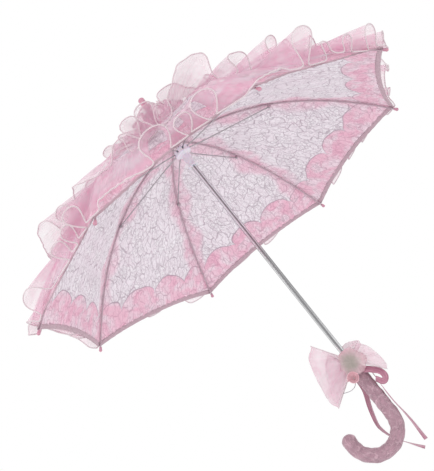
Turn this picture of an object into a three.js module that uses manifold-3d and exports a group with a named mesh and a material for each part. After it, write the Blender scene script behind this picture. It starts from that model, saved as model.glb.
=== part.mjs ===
// Open lace parasol with a crook handle, in millimetres.
// +Z runs up the shaft to the ferrule. The origin is on the shaft's axis, at the middle of the
// straight grip.
// The crook lies in the XZ plane and opens towards -X. Eight ribs stand every 45 degrees round the shaft.
import * as THREE from 'three';
import { mergeVertices } from 'three/addons/utils/BufferGeometryUtils.js';
import Module from 'manifold-3d';

const wasm = await Module();
wasm.setup();

// ---------------------------------------------------------------- driving dimensions
const GAP = 0.3;                    // left between pieces that touch
const RIB_COUNT = 8;
const FIRST_RIB_DEG = 22.5;         // azimuth of the first rib
const OPEN_RADIUS = 340;            // shaft axis to a rib's end
const RIM_Z = 328;                  // height of the ribs' ends
const DOME_RISE = 150;              // height of the rib pivots above the ribs' ends
const DOME_POWER = 2.3;             // how late the rib bends down
const PIVOT_RADIUS = 10;            // circle of the rib and stretcher pivots
const RIB_WIRE = 1.3;               // rib radius
const RIB_STEPS = 14;
const SHAFT_RADIUS = 4;
const SHAFT_WALL = 0.9;
const SHAFT_OVER_PIVOTS = 84;       // shaft above the rib pivots
const SHAFT_IN_HANDLE = 41;         // depth of the shaft in the handle's socket
const RUN_CLEARANCE = 0.3;          // radial play of what slides or sits on the shaft

const EYE_RADIUS = 2.2;             // eye at the inner end of a rib or stretcher
const EYE_HOLE = 1.0;
const EYE_WIDTH = 2;
const EYE_BITE = 0.6;               // the wire ends this far inside the eye's rim
const EYE_ROOM = 0.6;               // between an eye and its slot's floor or roof
const EYE_BACK_ROOM = 0.8;          // between an eye and its slot's inner end
const RING_WIRE = 0.5;              // wire ring that the eyes hang on
const SLOT_PLAY = 0.1;              // each side of the rib in its slot
const NOTCH_RIM = 4;                // notch outside the pivots
const NOTCH_ROOF = 3;
const NOTCH_DEPTH = 5;              // below the pivots
const HUB_BEVEL = 1;                // on the rims of the notch and the runner

const COLLAR_RIM = 3.5;             // runner's slotted collar outside the pivots
const COLLAR_DROP = 21;             // stretcher pivots under the rib pivots, open
const COLLAR_HEAD = 4;              // collar above its pivots
const COLLAR_FLOOR = 5.5;           // collar below its pivots
const BARREL_WALL = 1.9;
const BARREL_LENGTH = 26;
const LIP_PROUD = 2.2;              // finger lip at the runner's foot, outside the barrel
const LIP_HEIGHT = 3;
const COLLAR_FLARE = 3;             // height of the cone between barrel and collar
const KEY_WIDTH = 2.6;              // runner's slot that the catches pass along

const JOINT_RADIUS = 168;           // where a stretcher meets its rib
const JOINT_DROP = 2.6;             // the joint hangs this far under the rib's centre line
const JOINT_PLAY = 0.5;             // between a rib's boss and its stretcher
const BOSS_RADIUS = 2.4;
const BOSS_PROUD = 0.3;             // boss outside the rib wire, each side
const STRETCHER_WIRE = 0.9;
const STRETCHER_LEAVES = 8;         // from its pivot: where it turns out of the rib's plane,
const STRETCHER_ASIDE = 20.5;       // where it is beside the rib,
const STRETCHER_STRAIGHT = 27;      // and where its straight run starts
const CLOSING_TURN = 62.5;          // degrees that a rib turns down to close

const CATCH_WIDTH = 1.8;
const CATCH_HEIGHT = 8;
const CATCH_REACH = 2.2;            // how far a catch stands out of the shaft
const CATCH_NOSE = 2;               // height of a catch's blunt nose
const CATCH_ROOM = 0.62;            // between the closed runner's lip and the lower catch

const CLOTH_CLEARANCE = 0.6;        // rib to lace
const CLOTH_WALL = 1.4;             // lace with the flounces' seams
const FLOUNCE_PROUD = 3.4;          // extra wall at a flounce's free edge
const CLOTH_OFF_NOTCH = 2;          // inner edge of the lace outside the notch
const CLOTH_END = 0.985;            // share of the rib that the lace covers
const HEM_SCALLOP = 0.035;          // the hem draws in by this share between ribs
const CLOTH_SAG = 8;                // sag of a gore's middle
const TIER_ENDS = [0.34, 0.66, 1];  // free edges of the three flounces
const CROWN_CAP_RADIUS = 26;
const CROWN_CAP_WALL = 1.2;
const CROWN_RUFFLE_RADIUS = 62;
const CROWN_RUFFLE_HEIGHT = 63.4;
const CROWN_RUFFLE_LIP = 3;         // width of the ruffle's top edge, round the ferrule
const CROWN_RUFFLE_SIDE = [[1, 0], [0.95, 0.14], [0.6, 0.38], [0.3, 0.72]];  // of radius, of height
const FERRULE_WALL = 0.9;
const FERRULE_ROOF = 9.7;           // over the shaft's end
const FERRULE_BEVEL = [1.6, 2];     // inwards and down, at the ferrule's top

const BEAD_WALL = 1.3;              // round the rib at the bead's widest
const BEAD_NECK_WALL = 0.7;
const BEAD_SOCKET = 4;              // length of the neck
const BEAD_LENGTH = 4.4;            // beyond the rib's end
const BEAD_SHOULDER = 0.3;          // of its length: where the neck starts to widen
const BEAD_SIDE = [[1, 0.25], [0.8, 0.7], [0, 1]];  // of radius, of length

const GRIP_TOP = 53;                // straight grip, above and below the origin
const GRIP_BOTTOM = -53;
const CORE_RADIUS = 9.3;
const SLEEVE_WALL = 0.7;
const CROOK_RADIUS = 36;            // centre line of the crook
const CROOK_SWEEP = 192;            // degrees
const END_CAP_BULGE = 0.85;         // height of the crook's rounded end, as a share of its radius
const COLLAR_HEIGHT = 4;            // ring on top of the grip
const COLLAR_TAPER = 2;             // how much narrower the ring is at its top

const KNOT_MIDDLE = { x: 1, z: 34 };
const KNOT_OVERHANG = 3.7;          // bow's knot beyond each side of the sleeve
const KNOT_DEPTH = 7.5;
const KNOT_HEIGHT = 15;
const BOW_DEPTH = 14;               // how far the bow's loops stand in front of the grip
const BOW_BACK = 2;                 // y of the loops' back
const LOOP_FOOT = 22;               // z of a loop's foot and head, at the knot
const LOOP_HEAD = 50;
const RIBBON_WIDTH = 10;
const RIBBON_WALL = 0.6;
const TAIL_BEHIND = 4;              // left tail's edge behind the sleeve
const TAIL_BESIDE = 5.7;            // right tail's foot beside the sleeve
const TAIL_START = 1.7;             // right tail's head beside the knot

// ---------------------------------------------------------------- facets
const HUB_SIDES = 24;
const SHAFT_SIDES = 20;
const WIRE_SIDES = 6;
const EYE_SIDES = 10;
const CLEARING_SIDES = 12;          // of the round cut that makes way for an eye
const STRETCHER_STEPS = 12;
const HANDLE_STEPS = 24;
const HANDLE_SIDES = 12;

// ---------------------------------------------------------------- colours
const FINISH = {
  chrome: { color: '#c9c8cb', roughness: 0.12, metalness: 1 },
  wire: { color: '#8f8a8d', roughness: 0.35, metalness: 0.9 },
  rib: { color: '#6d5a63', roughness: 0.45, metalness: 0.6 },
  white: { color: '#ece6ee', roughness: 0.4, metalness: 0 },
  pink: { color: '#d79ab2', roughness: 0.35, metalness: 0 },
  lace: { color: '#ecdfe6', roughness: 0.8, metalness: 0 },
  organza: { color: '#e2a9c2', roughness: 0.6, metalness: 0 },
  satin: { color: '#b4708c', roughness: 0.35, metalness: 0 },
  sleeve: { color: '#c08ba0', roughness: 0.75, metalness: 0 },
  core: { color: '#d9b3c2', roughness: 0.6, metalness: 0 },
};

// ---------------------------------------------------------------- small tools
const OVERCUT = 1;                  // a cutting shape runs past the face that it cuts
const parasol = new THREE.Group();
const RAD = Math.PI / 180;
const HALF_GORE = Math.PI / RIB_COUNT;
const NOTCH_Z = RIM_Z + DOME_RISE;
const COLLAR_Z = NOTCH_Z - COLLAR_DROP;
const SHAFT_TOP = NOTCH_Z + SHAFT_OVER_PIVOTS;
const HUB_BORE = SHAFT_RADIUS + RUN_CLEARANCE;
const NOTCH_RADIUS = PIVOT_RADIUS + NOTCH_RIM;
const COLLAR_RADIUS = PIVOT_RADIUS + COLLAR_RIM;
const SLOT_WIDTH = Math.max(EYE_WIDTH, 2 * RIB_WIRE) + 2 * SLOT_PLAY;
const BOSS_WIDTH = 2 * (RIB_WIRE + BOSS_PROUD);
const STRETCHER_SIDE = BOSS_WIDTH / 2 + JOINT_PLAY + STRETCHER_WIRE;  // beside its rib

function add(name, geometry, finish) {
  const mesh = new THREE.Mesh(geometry, new THREE.MeshStandardMaterial(FINISH[finish]));
  mesh.name = name;
  parasol.add(mesh);
  return mesh;
}

function solid(geometry) {
  const bare = geometry.clone();
  bare.deleteAttribute('normal');
  bare.deleteAttribute('uv');
  const merged = mergeVertices(bare, 1e-4);
  return new wasm.Manifold(new wasm.Mesh({
    numProp: 3,
    vertProperties: new Float32Array(merged.attributes.position.array),
    triVerts: new Uint32Array(merged.index.array),
  }));
}

function geometry(manifold) {
  const mesh = manifold.getMesh();
  const out = new THREE.BufferGeometry();
  out.setAttribute('position', new THREE.BufferAttribute(new Float32Array(mesh.vertProperties), 3));
  out.setIndex(new THREE.BufferAttribute(new Uint32Array(mesh.triVerts), 1));
  return out;
}

// A solid of revolution about Z. Points are [radius, z], up the outside and back down the inside or
// the axis.
function turned(points, segments) {
  const profile = points.map(([r, z]) => new THREE.Vector2(r, z));
  const first = profile[0];
  const last = profile[profile.length - 1];
  if (first.x > 0 || last.x > 0) profile.push(first.clone());
  return new THREE.LatheGeometry(profile, segments).rotateX(Math.PI / 2);
}

function disc(radius, sides) {
  const corners = [];
  for (let i = 0; i < sides; i += 1) {
    const turn = (i / sides) * 2 * Math.PI;
    corners.push(new THREE.Vector2(radius * Math.cos(turn), radius * Math.sin(turn)));
  }
  return corners;
}

function tube(curve, radius, sides, steps, bore = 0) {
  const section = new THREE.Shape(disc(radius, sides));
  if (bore > 0) section.holes.push(new THREE.Path(disc(bore, sides).reverse()));
  return new THREE.ExtrudeGeometry(section, { steps, extrudePath: curve, bevelEnabled: false });
}

function block(x0, x1, y0, y1, z0, z1) {
  return new THREE.BoxGeometry(x1 - x0, y1 - y0, z1 - z0)
    .translate((x0 + x1) / 2, (y0 + y1) / 2, (z0 + z1) / 2);
}

// A round pin whose axis lies along Y.
function crossPin(radius, width, x, y, z, sides) {
  return new THREE.CylinderGeometry(radius, radius, width, sides).translate(x, y, z);
}

function ribAngle(index) {
  return (FIRST_RIB_DEG + (index * 360) / RIB_COUNT) * RAD;
}

// ---------------------------------------------------------------- the rib's curve, in its own radial plane
class RibCurve extends THREE.Curve {
  getPoint(t) {
    const r = PIVOT_RADIUS + (OPEN_RADIUS - PIVOT_RADIUS) * t;
    return new THREE.Vector3(r, 0, NOTCH_Z - DOME_RISE * t ** DOME_POWER);
  }
}

const ribNodes = new RibCurve().getSpacedPoints(RIB_STEPS);

// Point, and outward normal, at s steps along the rib's polyline.
function onRib(s) {
  const i = Math.min(Math.floor(s), RIB_STEPS - 1);
  const point = ribNodes[i].clone().lerp(ribNodes[i + 1], s - i);
  const before = ribNodes[Math.max(0, Math.round(s) - 1)];
  const after = ribNodes[Math.min(RIB_STEPS, Math.round(s) + 1)];
  const along = after.clone().sub(before).normalize();
  return { point, normal: new THREE.Vector3(-along.z, 0, along.x) };
}

function ribStepAtRadius(radius) {
  let s = 0;
  while (ribNodes[s + 1].x < radius) s += 1;
  return s + (radius - ribNodes[s].x) / (ribNodes[s + 1].x - ribNodes[s].x);
}

const jointAt = onRib(ribStepAtRadius(JOINT_RADIUS));
const jointPoint = jointAt.point.clone().addScaledVector(jointAt.normal, -JOINT_DROP);

// ---------------------------------------------------------------- shaft and catches
const RUNNER_FOOT = COLLAR_Z - COLLAR_FLOOR - BARREL_LENGTH;
const TOP_CATCH_Z = RUNNER_FOOT - GAP - CATCH_HEIGHT;
const BOTTOM_CATCH_Z = RUNNER_FOOT - runnerTravel() + LIP_HEIGHT + CATCH_ROOM;

// How far down the runner goes when every rib has turned by CLOSING_TURN about its pivot.
function runnerTravel() {
  const reach = jointPoint.x - PIVOT_RADIUS;
  const stretcherLength = Math.hypot(reach, jointPoint.z - COLLAR_Z);
  const drop = jointPoint.z - NOTCH_Z;
  const turn = CLOSING_TURN * RAD;
  const closedReach = reach * Math.cos(turn) + drop * Math.sin(turn);
  const closedZ = NOTCH_Z - reach * Math.sin(turn) + drop * Math.cos(turn);
  return COLLAR_Z - (closedZ - Math.sqrt(stretcherLength ** 2 - closedReach ** 2));
}

function catchWindow(z) {
  const side = (CATCH_WIDTH + 2 * GAP) / 2;
  return block(-side, side, 0, SHAFT_RADIUS + OVERCUT, z - GAP, z + CATCH_HEIGHT + GAP);
}

function shaft() {
  const foot = GRIP_TOP - SHAFT_IN_HANDLE;
  const wall = SHAFT_RADIUS - SHAFT_WALL;
  const tubeWall = turned([
    [SHAFT_RADIUS, foot], [SHAFT_RADIUS, SHAFT_TOP], [wall, SHAFT_TOP], [wall, foot],
  ], SHAFT_SIDES);
  const cut = solid(tubeWall).subtract(solid(catchWindow(TOP_CATCH_Z)));
  return geometry(cut.subtract(solid(catchWindow(BOTTOM_CATCH_Z))));
}

// A spring catch, wedge-shaped outside the shaft. squareEnd is 1 when its square face looks up and
// -1 when it looks down.
function springCatch(z, squareEnd) {
  const nose = SHAFT_RADIUS + CATCH_REACH;
  const heel = z + CATCH_HEIGHT * (squareEnd > 0 ? 0 : 1);
  const face = z + CATCH_HEIGHT * (squareEnd > 0 ? 1 : 0);
  const side = new THREE.Shape([
    new THREE.Vector2(0, heel),
    new THREE.Vector2(SHAFT_RADIUS, heel),
    new THREE.Vector2(nose, face - CATCH_NOSE * squareEnd),
    new THREE.Vector2(nose, face),
    new THREE.Vector2(0, face),
  ]);
  const plate = new THREE.ExtrudeGeometry(side, { depth: CATCH_WIDTH, bevelEnabled: false });
  const stand = new THREE.Matrix4().makeBasis(
    new THREE.Vector3(0, 1, 0), new THREE.Vector3(0, 0, 1), new THREE.Vector3(1, 0, 0));
  return plate.applyMatrix4(stand).translate(-CATCH_WIDTH / 2, 0, 0);
}

add('shaft_tube', shaft(), 'chrome');
add('top_catch', springCatch(TOP_CATCH_Z, 1), 'wire');
add('bottom_catch', springCatch(BOTTOM_CATCH_Z, -1), 'wire');

// ---------------------------------------------------------------- slotted hubs: top notch and runner
// Cuts one slot per rib and the ring wire's groove. Slots open outwards, and towards z0..z1.
function slotted(body, z0, z1, grooveZ0, grooveZ1) {
  let cut = body;
  const slotStart = PIVOT_RADIUS - EYE_RADIUS - EYE_BACK_ROOM;
  const slotEnd = Math.max(NOTCH_RADIUS, COLLAR_RADIUS) + OVERCUT;
  for (let i = 0; i < RIB_COUNT; i += 1) {
    const slot = block(slotStart, slotEnd, -SLOT_WIDTH / 2, SLOT_WIDTH / 2, z0, z1);
    cut = cut.subtract(solid(slot.rotateZ(ribAngle(i))));
  }
  const half = RING_WIRE + GAP;
  const groove = turned([
    [PIVOT_RADIUS + half, grooveZ0], [PIVOT_RADIUS + half, grooveZ1],
    [PIVOT_RADIUS - half, grooveZ1], [PIVOT_RADIUS - half, grooveZ0],
  ], HUB_SIDES);
  return cut.subtract(solid(groove));
}

function ringWire(z) {
  return new THREE.TorusGeometry(PIVOT_RADIUS, RING_WIRE, WIRE_SIDES - 1, HUB_SIDES).translate(0, 0, z);
}

const NOTCH_TOP = NOTCH_Z + EYE_RADIUS + EYE_ROOM + NOTCH_ROOF;

function topNotch() {
  const foot = NOTCH_Z - NOTCH_DEPTH;
  const body = solid(turned([
    [NOTCH_RADIUS, foot], [NOTCH_RADIUS, NOTCH_TOP - HUB_BEVEL], [NOTCH_RADIUS - HUB_BEVEL, NOTCH_TOP],
    [HUB_BORE, NOTCH_TOP], [HUB_BORE, foot],
  ], HUB_SIDES));
  const slotTop = NOTCH_TOP - NOTCH_ROOF;
  const grooveTop = NOTCH_Z + RING_WIRE + GAP;
  return geometry(slotted(body, foot - OVERCUT, slotTop, foot - OVERCUT, grooveTop));
}

// The slot for the catches runs up from the lip, so the lip stays a whole ring that a catch can hold.
function runner() {
  const collarFoot = COLLAR_Z - COLLAR_FLOOR;
  const top = COLLAR_Z + COLLAR_HEAD;
  const barrel = HUB_BORE + BARREL_WALL;
  const lip = barrel + LIP_PROUD;
  let body = solid(turned([
    [lip, RUNNER_FOOT], [lip, RUNNER_FOOT + LIP_HEIGHT - HUB_BEVEL],
    [barrel, RUNNER_FOOT + LIP_HEIGHT], [barrel, collarFoot - COLLAR_FLARE],
    [COLLAR_RADIUS, collarFoot], [COLLAR_RADIUS, top - HUB_BEVEL], [COLLAR_RADIUS - HUB_BEVEL, top],
    [HUB_BORE, top], [HUB_BORE, RUNNER_FOOT],
  ], HUB_SIDES));
  const slotFloor = COLLAR_Z - EYE_RADIUS - EYE_ROOM;
  const grooveFloor = COLLAR_Z - RING_WIRE - GAP;
  body = slotted(body, slotFloor, top + OVERCUT, grooveFloor, top + OVERCUT);
  const side = KEY_WIDTH / 2;
  const reach = SHAFT_RADIUS + CATCH_REACH + GAP;
  const key = block(-side, side, 0, reach, RUNNER_FOOT + LIP_HEIGHT, top + OVERCUT);
  return geometry(body.subtract(solid(key)));
}

add('top_notch', topNotch(), 'white');
add('notch_wire', ringWire(NOTCH_Z), 'wire');
add('runner', runner(), 'white');
add('runner_wire', ringWire(COLLAR_Z), 'wire');

// ---------------------------------------------------------------- ribs, beads and stretchers
function ring(x, z, radius, hole, width, y = 0) {
  const outer = solid(crossPin(radius, width, x, y, z, EYE_SIDES));
  return hole > 0 ? outer.subtract(solid(crossPin(hole, width + OVERCUT, x, y, z, WIRE_SIDES))) : outer;
}

function rib() {
  const wire = solid(tube(new RibCurve(), RIB_WIRE, WIRE_SIDES, RIB_STEPS));
  const width = 2 * RIB_WIRE + OVERCUT;
  const clear = crossPin(EYE_RADIUS - EYE_BITE, width, PIVOT_RADIUS, 0, NOTCH_Z, CLEARING_SIDES);
  const eye = ring(PIVOT_RADIUS, NOTCH_Z, EYE_RADIUS, EYE_HOLE, EYE_WIDTH);
  const boss = ring(jointPoint.x, jointPoint.z, BOSS_RADIUS, 0, BOSS_WIDTH);
  return geometry(wire.subtract(solid(clear)).add(eye).add(boss));
}

// The bead sits on the rib's end, along the rib's last direction, with the rib in its socket.
function bead() {
  const end = ribNodes[RIB_STEPS];
  const along = end.clone().sub(ribNodes[RIB_STEPS - 1]).normalize();
  const socket = RIB_WIRE + GAP;
  const neck = socket + BEAD_NECK_WALL;
  const radius = socket + BEAD_WALL;
  const shape = turned([
    [socket, -BEAD_SOCKET], [neck, -BEAD_SOCKET], [neck, -BEAD_LENGTH * BEAD_SHOULDER],
    ...BEAD_SIDE.map(([r, z]) => [radius * r, BEAD_LENGTH * z]), [0, GAP], [socket, GAP],
  ], EYE_SIDES - 2);
  const turn = new THREE.Quaternion().setFromUnitVectors(new THREE.Vector3(0, 0, 1), along);
  return shape.applyQuaternion(turn).translate(end.x, end.y, end.z);
}

// The stretcher leaves the collar in the rib's plane and steps aside, to pass beside the rib.
function stretcher() {
  const reach = jointPoint.x - PIVOT_RADIUS;
  const rise = jointPoint.z - COLLAR_Z;
  const at = (run, side) => new THREE.Vector3(PIVOT_RADIUS + run, side, COLLAR_Z + (rise * run) / reach);
  const route = new THREE.CatmullRomCurve3([
    at(EYE_RADIUS - EYE_BITE / 2, 0), at(STRETCHER_LEAVES, 0),
    at((STRETCHER_LEAVES + STRETCHER_ASIDE) / 2, STRETCHER_SIDE / 2), at(STRETCHER_ASIDE, STRETCHER_SIDE),
    at(STRETCHER_STRAIGHT, STRETCHER_SIDE), at(reach - BOSS_RADIUS / 3, STRETCHER_SIDE),
  ], false, 'centripetal');
  const wire = solid(tube(route, STRETCHER_WIRE, WIRE_SIDES, STRETCHER_STEPS));
  const width = 2 * STRETCHER_WIRE + OVERCUT;
  const clear = crossPin(EYE_RADIUS - EYE_BITE, width, PIVOT_RADIUS, 0, COLLAR_Z, CLEARING_SIDES);
  const eye = ring(PIVOT_RADIUS, COLLAR_Z, EYE_RADIUS, EYE_HOLE, EYE_WIDTH);
  const end = ring(jointPoint.x, jointPoint.z, BOSS_RADIUS, 0, 2 * STRETCHER_WIRE, STRETCHER_SIDE);
  return geometry(wire.subtract(solid(clear)).add(eye).add(end));
}

// ---------------------------------------------------------------- canopy: two half gores per rib
const clothFirst = ribStepAtRadius(NOTCH_RADIUS + CLOTH_OFF_NOTCH);
const ACROSS = [0, 0.5, 1];

function flounceWall(share) {
  const end = TIER_ENDS.find((tier) => share <= tier + 1e-6) ?? 1;
  const start = TIER_ENDS[TIER_ENDS.indexOf(end) - 1] ?? 0;
  return CLOTH_WALL + FLOUNCE_PROUD * ((share - start) / (end - start));
}

// across runs from 0 at the rib to 1 at the gore's middle; lift is the height above the rib's centre line.
function clothPoint(s, across, lift, side) {
  const { point, normal } = onRib(s);
  const lean = 1 - across * Math.sin(HALF_GORE) ** 2;
  const turn = across * HALF_GORE;
  const share = s / RIB_STEPS;
  const sag = CLOTH_SAG * Math.sin(Math.PI * share) * (1 - (1 - across) ** 2);
  const x = point.x * lean + normal.x * lift * Math.cos(turn);
  const y = point.x * across * Math.sin(HALF_GORE) * Math.cos(HALF_GORE) + normal.x * lift * Math.sin(turn);
  const gap = GAP / 2;
  const awayX = across * gap * Math.sin(HALF_GORE);
  const awayY = gap * (1 - across) - across * gap * Math.cos(HALF_GORE);
  return [x + awayX, side * (y + awayY), point.z + normal.z * lift - sag];
}

function halfGore(side) {
  const last = (across) => RIB_STEPS * (CLOTH_END - HEM_SCALLOP * (1 - (1 - across) ** 2));
  const rows = RIB_STEPS;
  const positions = [];
  const lifts = (share) => [RIB_WIRE + CLOTH_CLEARANCE, RIB_WIRE + CLOTH_CLEARANCE + flounceWall(share)];
  for (let layer = 0; layer < 2; layer += 1) {
    for (let row = 0; row <= rows; row += 1) {
      for (const across of ACROSS) {
        let s = row === 0 ? clothFirst : row;
        if (row === rows) s = last(across);
        if (row === rows - 1) s = Math.min(row, last(across) - 0.35);
        positions.push(...clothPoint(s, across, lifts(row / rows)[layer], side));
      }
    }
  }
  const columns = ACROSS.length;
  const index = [];
  const at = (layer, row, column) => (layer * (rows + 1) + row) * columns + column;
  const quad = (a, b, c, d) => (side > 0 ? index.push(a, b, c, a, c, d) : index.push(a, c, b, a, d, c));
  for (let row = 0; row < rows; row += 1) {
    for (let column = 0; column < columns - 1; column += 1) {
      quad(at(1, row, column), at(1, row + 1, column), at(1, row + 1, column + 1), at(1, row, column + 1));
      quad(at(0, row, column), at(0, row, column + 1), at(0, row + 1, column + 1), at(0, row + 1, column));
    }
    const edge = columns - 1;
    quad(at(0, row, 0), at(0, row + 1, 0), at(1, row + 1, 0), at(1, row, 0));
    quad(at(0, row, edge), at(1, row, edge), at(1, row + 1, edge), at(0, row + 1, edge));
  }
  for (let column = 0; column < columns - 1; column += 1) {
    quad(at(0, 0, column), at(1, 0, column), at(1, 0, column + 1), at(0, 0, column + 1));
    quad(at(0, rows, column), at(0, rows, column + 1), at(1, rows, column + 1), at(1, rows, column));
  }
  const out = new THREE.BufferGeometry();
  out.setAttribute('position', new THREE.BufferAttribute(new Float32Array(positions), 3));
  out.setIndex(index);
  return out;
}

for (let i = 0; i < RIB_COUNT; i += 1) {
  const number = i + 1;
  const turn = ribAngle(i);
  add(`rib_${number}`, rib(), 'rib').rotation.z = turn;
  add(`rib_bead_${number}`, bead(), 'pink').rotation.z = turn;
  add(`stretcher_${number}`, stretcher(), 'wire').rotation.z = turn;
  add(`gore_${number}_left`, halfGore(1), 'lace').rotation.z = turn;
  add(`gore_${number}_right`, halfGore(-1), 'lace').rotation.z = turn;
}

// ---------------------------------------------------------------- crown and ferrule
const CAP_FOOT = Math.max(NOTCH_TOP, NOTCH_Z + RIB_WIRE + CLOTH_CLEARANCE + flounceWall(0.1)) + GAP;
const CAP_TOP = CAP_FOOT + CROWN_CAP_WALL;
const FERRULE_RADIUS = HUB_BORE + FERRULE_WALL;

function crownRuffle() {
  const bore = FERRULE_RADIUS + GAP;
  const foot = CAP_TOP + GAP;
  const top = foot + CROWN_RUFFLE_HEIGHT;
  const side = CROWN_RUFFLE_SIDE.map(([r, z]) => [CROWN_RUFFLE_RADIUS * r, foot + CROWN_RUFFLE_HEIGHT * z]);
  return turned([[bore, foot], ...side, [bore + CROWN_RUFFLE_LIP, top], [bore, top]], HUB_SIDES);
}

function ferrule() {
  const foot = CAP_TOP + GAP;
  const roof = SHAFT_TOP + GAP;
  const top = roof + FERRULE_ROOF;
  return turned([
    [HUB_BORE, foot], [FERRULE_RADIUS, foot], [FERRULE_RADIUS, top - FERRULE_BEVEL[1]],
    [FERRULE_RADIUS - FERRULE_BEVEL[0], top], [0, top], [0, roof], [HUB_BORE, roof],
  ], SHAFT_SIDES);
}

add('crown_cap', turned([
  [HUB_BORE, CAP_FOOT], [CROWN_CAP_RADIUS, CAP_FOOT], [CROWN_CAP_RADIUS, CAP_TOP], [HUB_BORE, CAP_TOP],
], HUB_SIDES), 'organza');
add('crown_ruffle', crownRuffle(), 'organza');
add('ferrule', ferrule(), 'pink');

// ---------------------------------------------------------------- crook handle
class HandleLine extends THREE.Curve {
  getPoint(t) {
    const straight = GRIP_TOP - GRIP_BOTTOM;
    const arc = CROOK_RADIUS * CROOK_SWEEP * RAD;
    const run = t * (straight + arc);
    if (run <= straight) return new THREE.Vector3(0, 0, GRIP_TOP - run);
    const turn = (run - straight) / CROOK_RADIUS;
    return new THREE.Vector3(
      -CROOK_RADIUS + CROOK_RADIUS * Math.cos(turn), 0, GRIP_BOTTOM - CROOK_RADIUS * Math.sin(turn));
  }
}

const SLEEVE_BORE = CORE_RADIUS + GAP;
const SLEEVE_RADIUS = SLEEVE_BORE + SLEEVE_WALL;

function alongHandle(radius, bore) {
  return tube(new HandleLine(), radius, HANDLE_SIDES, HANDLE_STEPS, bore);
}

function handleCore() {
  const floor = GRIP_TOP - SHAFT_IN_HANDLE - GAP;
  const mouth = GRIP_TOP + OVERCUT;
  const socket = turned([[0, floor], [HUB_BORE, floor], [HUB_BORE, mouth], [0, mouth]], SHAFT_SIDES);
  return geometry(solid(alongHandle(CORE_RADIUS, 0)).subtract(solid(socket)));
}

function endCap() {
  const line = new HandleLine();
  const end = line.getPoint(1);
  const along = line.getTangent(1).normalize();
  const height = SLEEVE_RADIUS * END_CAP_BULGE;
  const profile = [[0, GAP], [SLEEVE_RADIUS, GAP]];
  for (const degrees of [22.5, 45, 67.5]) {
    profile.push([SLEEVE_RADIUS * Math.cos(degrees * RAD), GAP + height * Math.sin(degrees * RAD)]);
  }
  profile.push([0, GAP + height]);
  const turn = new THREE.Quaternion().setFromUnitVectors(new THREE.Vector3(0, 0, 1), along);
  return turned(profile, HANDLE_SIDES + 4).applyQuaternion(turn).translate(end.x, end.y, end.z);
}

add('handle_core', handleCore(), 'core');
add('handle_sleeve', alongHandle(SLEEVE_RADIUS, SLEEVE_BORE), 'sleeve');
add('handle_end_cap', endCap(), 'sleeve');

const RING_FOOT = GRIP_TOP + GAP;
const RING_TOP = RING_FOOT + COLLAR_HEIGHT;
add('handle_collar', turned([
  [HUB_BORE, RING_FOOT], [CORE_RADIUS, RING_FOOT], [CORE_RADIUS - COLLAR_TAPER, RING_TOP],
  [HUB_BORE, RING_TOP],
], SHAFT_SIDES), 'pink');

// ---------------------------------------------------------------- bow and ribbon
const FRONT = -(SLEEVE_RADIUS + GAP);     // the bow is tied on the grip's -Y side
const KNOT_HALF_WIDTH = SLEEVE_RADIUS + KNOT_OVERHANG;

// A padded outline in the XZ plane, from y0 to y1.
function pillow(outline, y0, y1) {
  const face = new THREE.Shape(outline.map(([x, z]) => new THREE.Vector2(x, z)));
  return new THREE.ExtrudeGeometry(face, { depth: y1 - y0, bevelEnabled: false })
    .rotateX(Math.PI / 2).translate(0, y1, 0);
}

const knotLeft = KNOT_MIDDLE.x - KNOT_HALF_WIDTH - GAP;
const knotRight = KNOT_MIDDLE.x + KNOT_HALF_WIDTH + GAP;

add('bow_knot', new THREE.SphereGeometry(1, 12, 8).scale(KNOT_HALF_WIDTH, KNOT_DEPTH, KNOT_HEIGHT)
  .translate(KNOT_MIDDLE.x, FRONT - KNOT_DEPTH, KNOT_MIDDLE.z), 'organza');
add('bow_loop_left', pillow([
  [knotLeft, LOOP_FOOT + 2], [knotLeft, LOOP_HEAD], [-31, 96], [-38, 94], [-58, 0], [-55, -3],
], FRONT - BOW_DEPTH, BOW_BACK), 'organza');
add('bow_loop_right', pillow([
  [knotRight, LOOP_FOOT], [38, -9], [41, -4], [35, 38], [26, 55], [knotRight, LOOP_HEAD],
], FRONT - BOW_DEPTH, BOW_BACK), 'organza');

function ribbon(points, steps) {
  const half = RIBBON_WIDTH / 2;
  const wall = RIBBON_WALL / 2;
  const section = new THREE.Shape([
    new THREE.Vector2(-half, -wall), new THREE.Vector2(half, -wall),
    new THREE.Vector2(half, wall), new THREE.Vector2(-half, wall),
  ]);
  const stations = points.map((p) => new THREE.Vector3(...p));
  const route = new THREE.CatmullRomCurve3(stations, false, 'centripetal');
  return new THREE.ExtrudeGeometry(section, { steps, extrudePath: route, bevelEnabled: false });
}

// Both tails hang from the knot's back. The left one passes behind the crook.
const BEHIND = SLEEVE_RADIUS + RIBBON_WIDTH / 2 + TAIL_BEHIND;
const BESIDE = SLEEVE_RADIUS + TAIL_BESIDE;
add('ribbon_loop', ribbon([
  [16, FRONT - 3, 8], [24, FRONT - 4, 2], [30, FRONT - 4, -8], [28, FRONT - 4, -18], [20, FRONT - 4, -16],
  [17, FRONT - 3, -6],
], 14), 'satin');
add('ribbon_tail_left', ribbon([
  [-9, BEHIND - 2, 14], [-11, BEHIND, -4], [-19, BEHIND, -26], [-26, BEHIND, -50], [-26, BEHIND, -62],
  [-22, BEHIND, -76], [-11, BEHIND, -94], [7, BEHIND, -116],
], 16), 'satin');
add('ribbon_tail_right', ribbon([
  [knotRight + TAIL_START, -6, LOOP_FOOT - RIBBON_WIDTH], [BESIDE + 1, -4, -10], [BESIDE + 0.6, -2, -36],
  [BESIDE + 0.4, -2, -64], [BESIDE + 0.2, -2, -90], [BESIDE, -2, -109],
], 12), 'satin');

export default parasol;
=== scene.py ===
"""Lace parasol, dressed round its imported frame.

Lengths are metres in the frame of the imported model: +Z runs up the shaft to the ferrule, the origin is the
middle of the grip, and eight ribs stand every 45 degrees. Azimuths are measured from +X towards +Y.
"""

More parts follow.
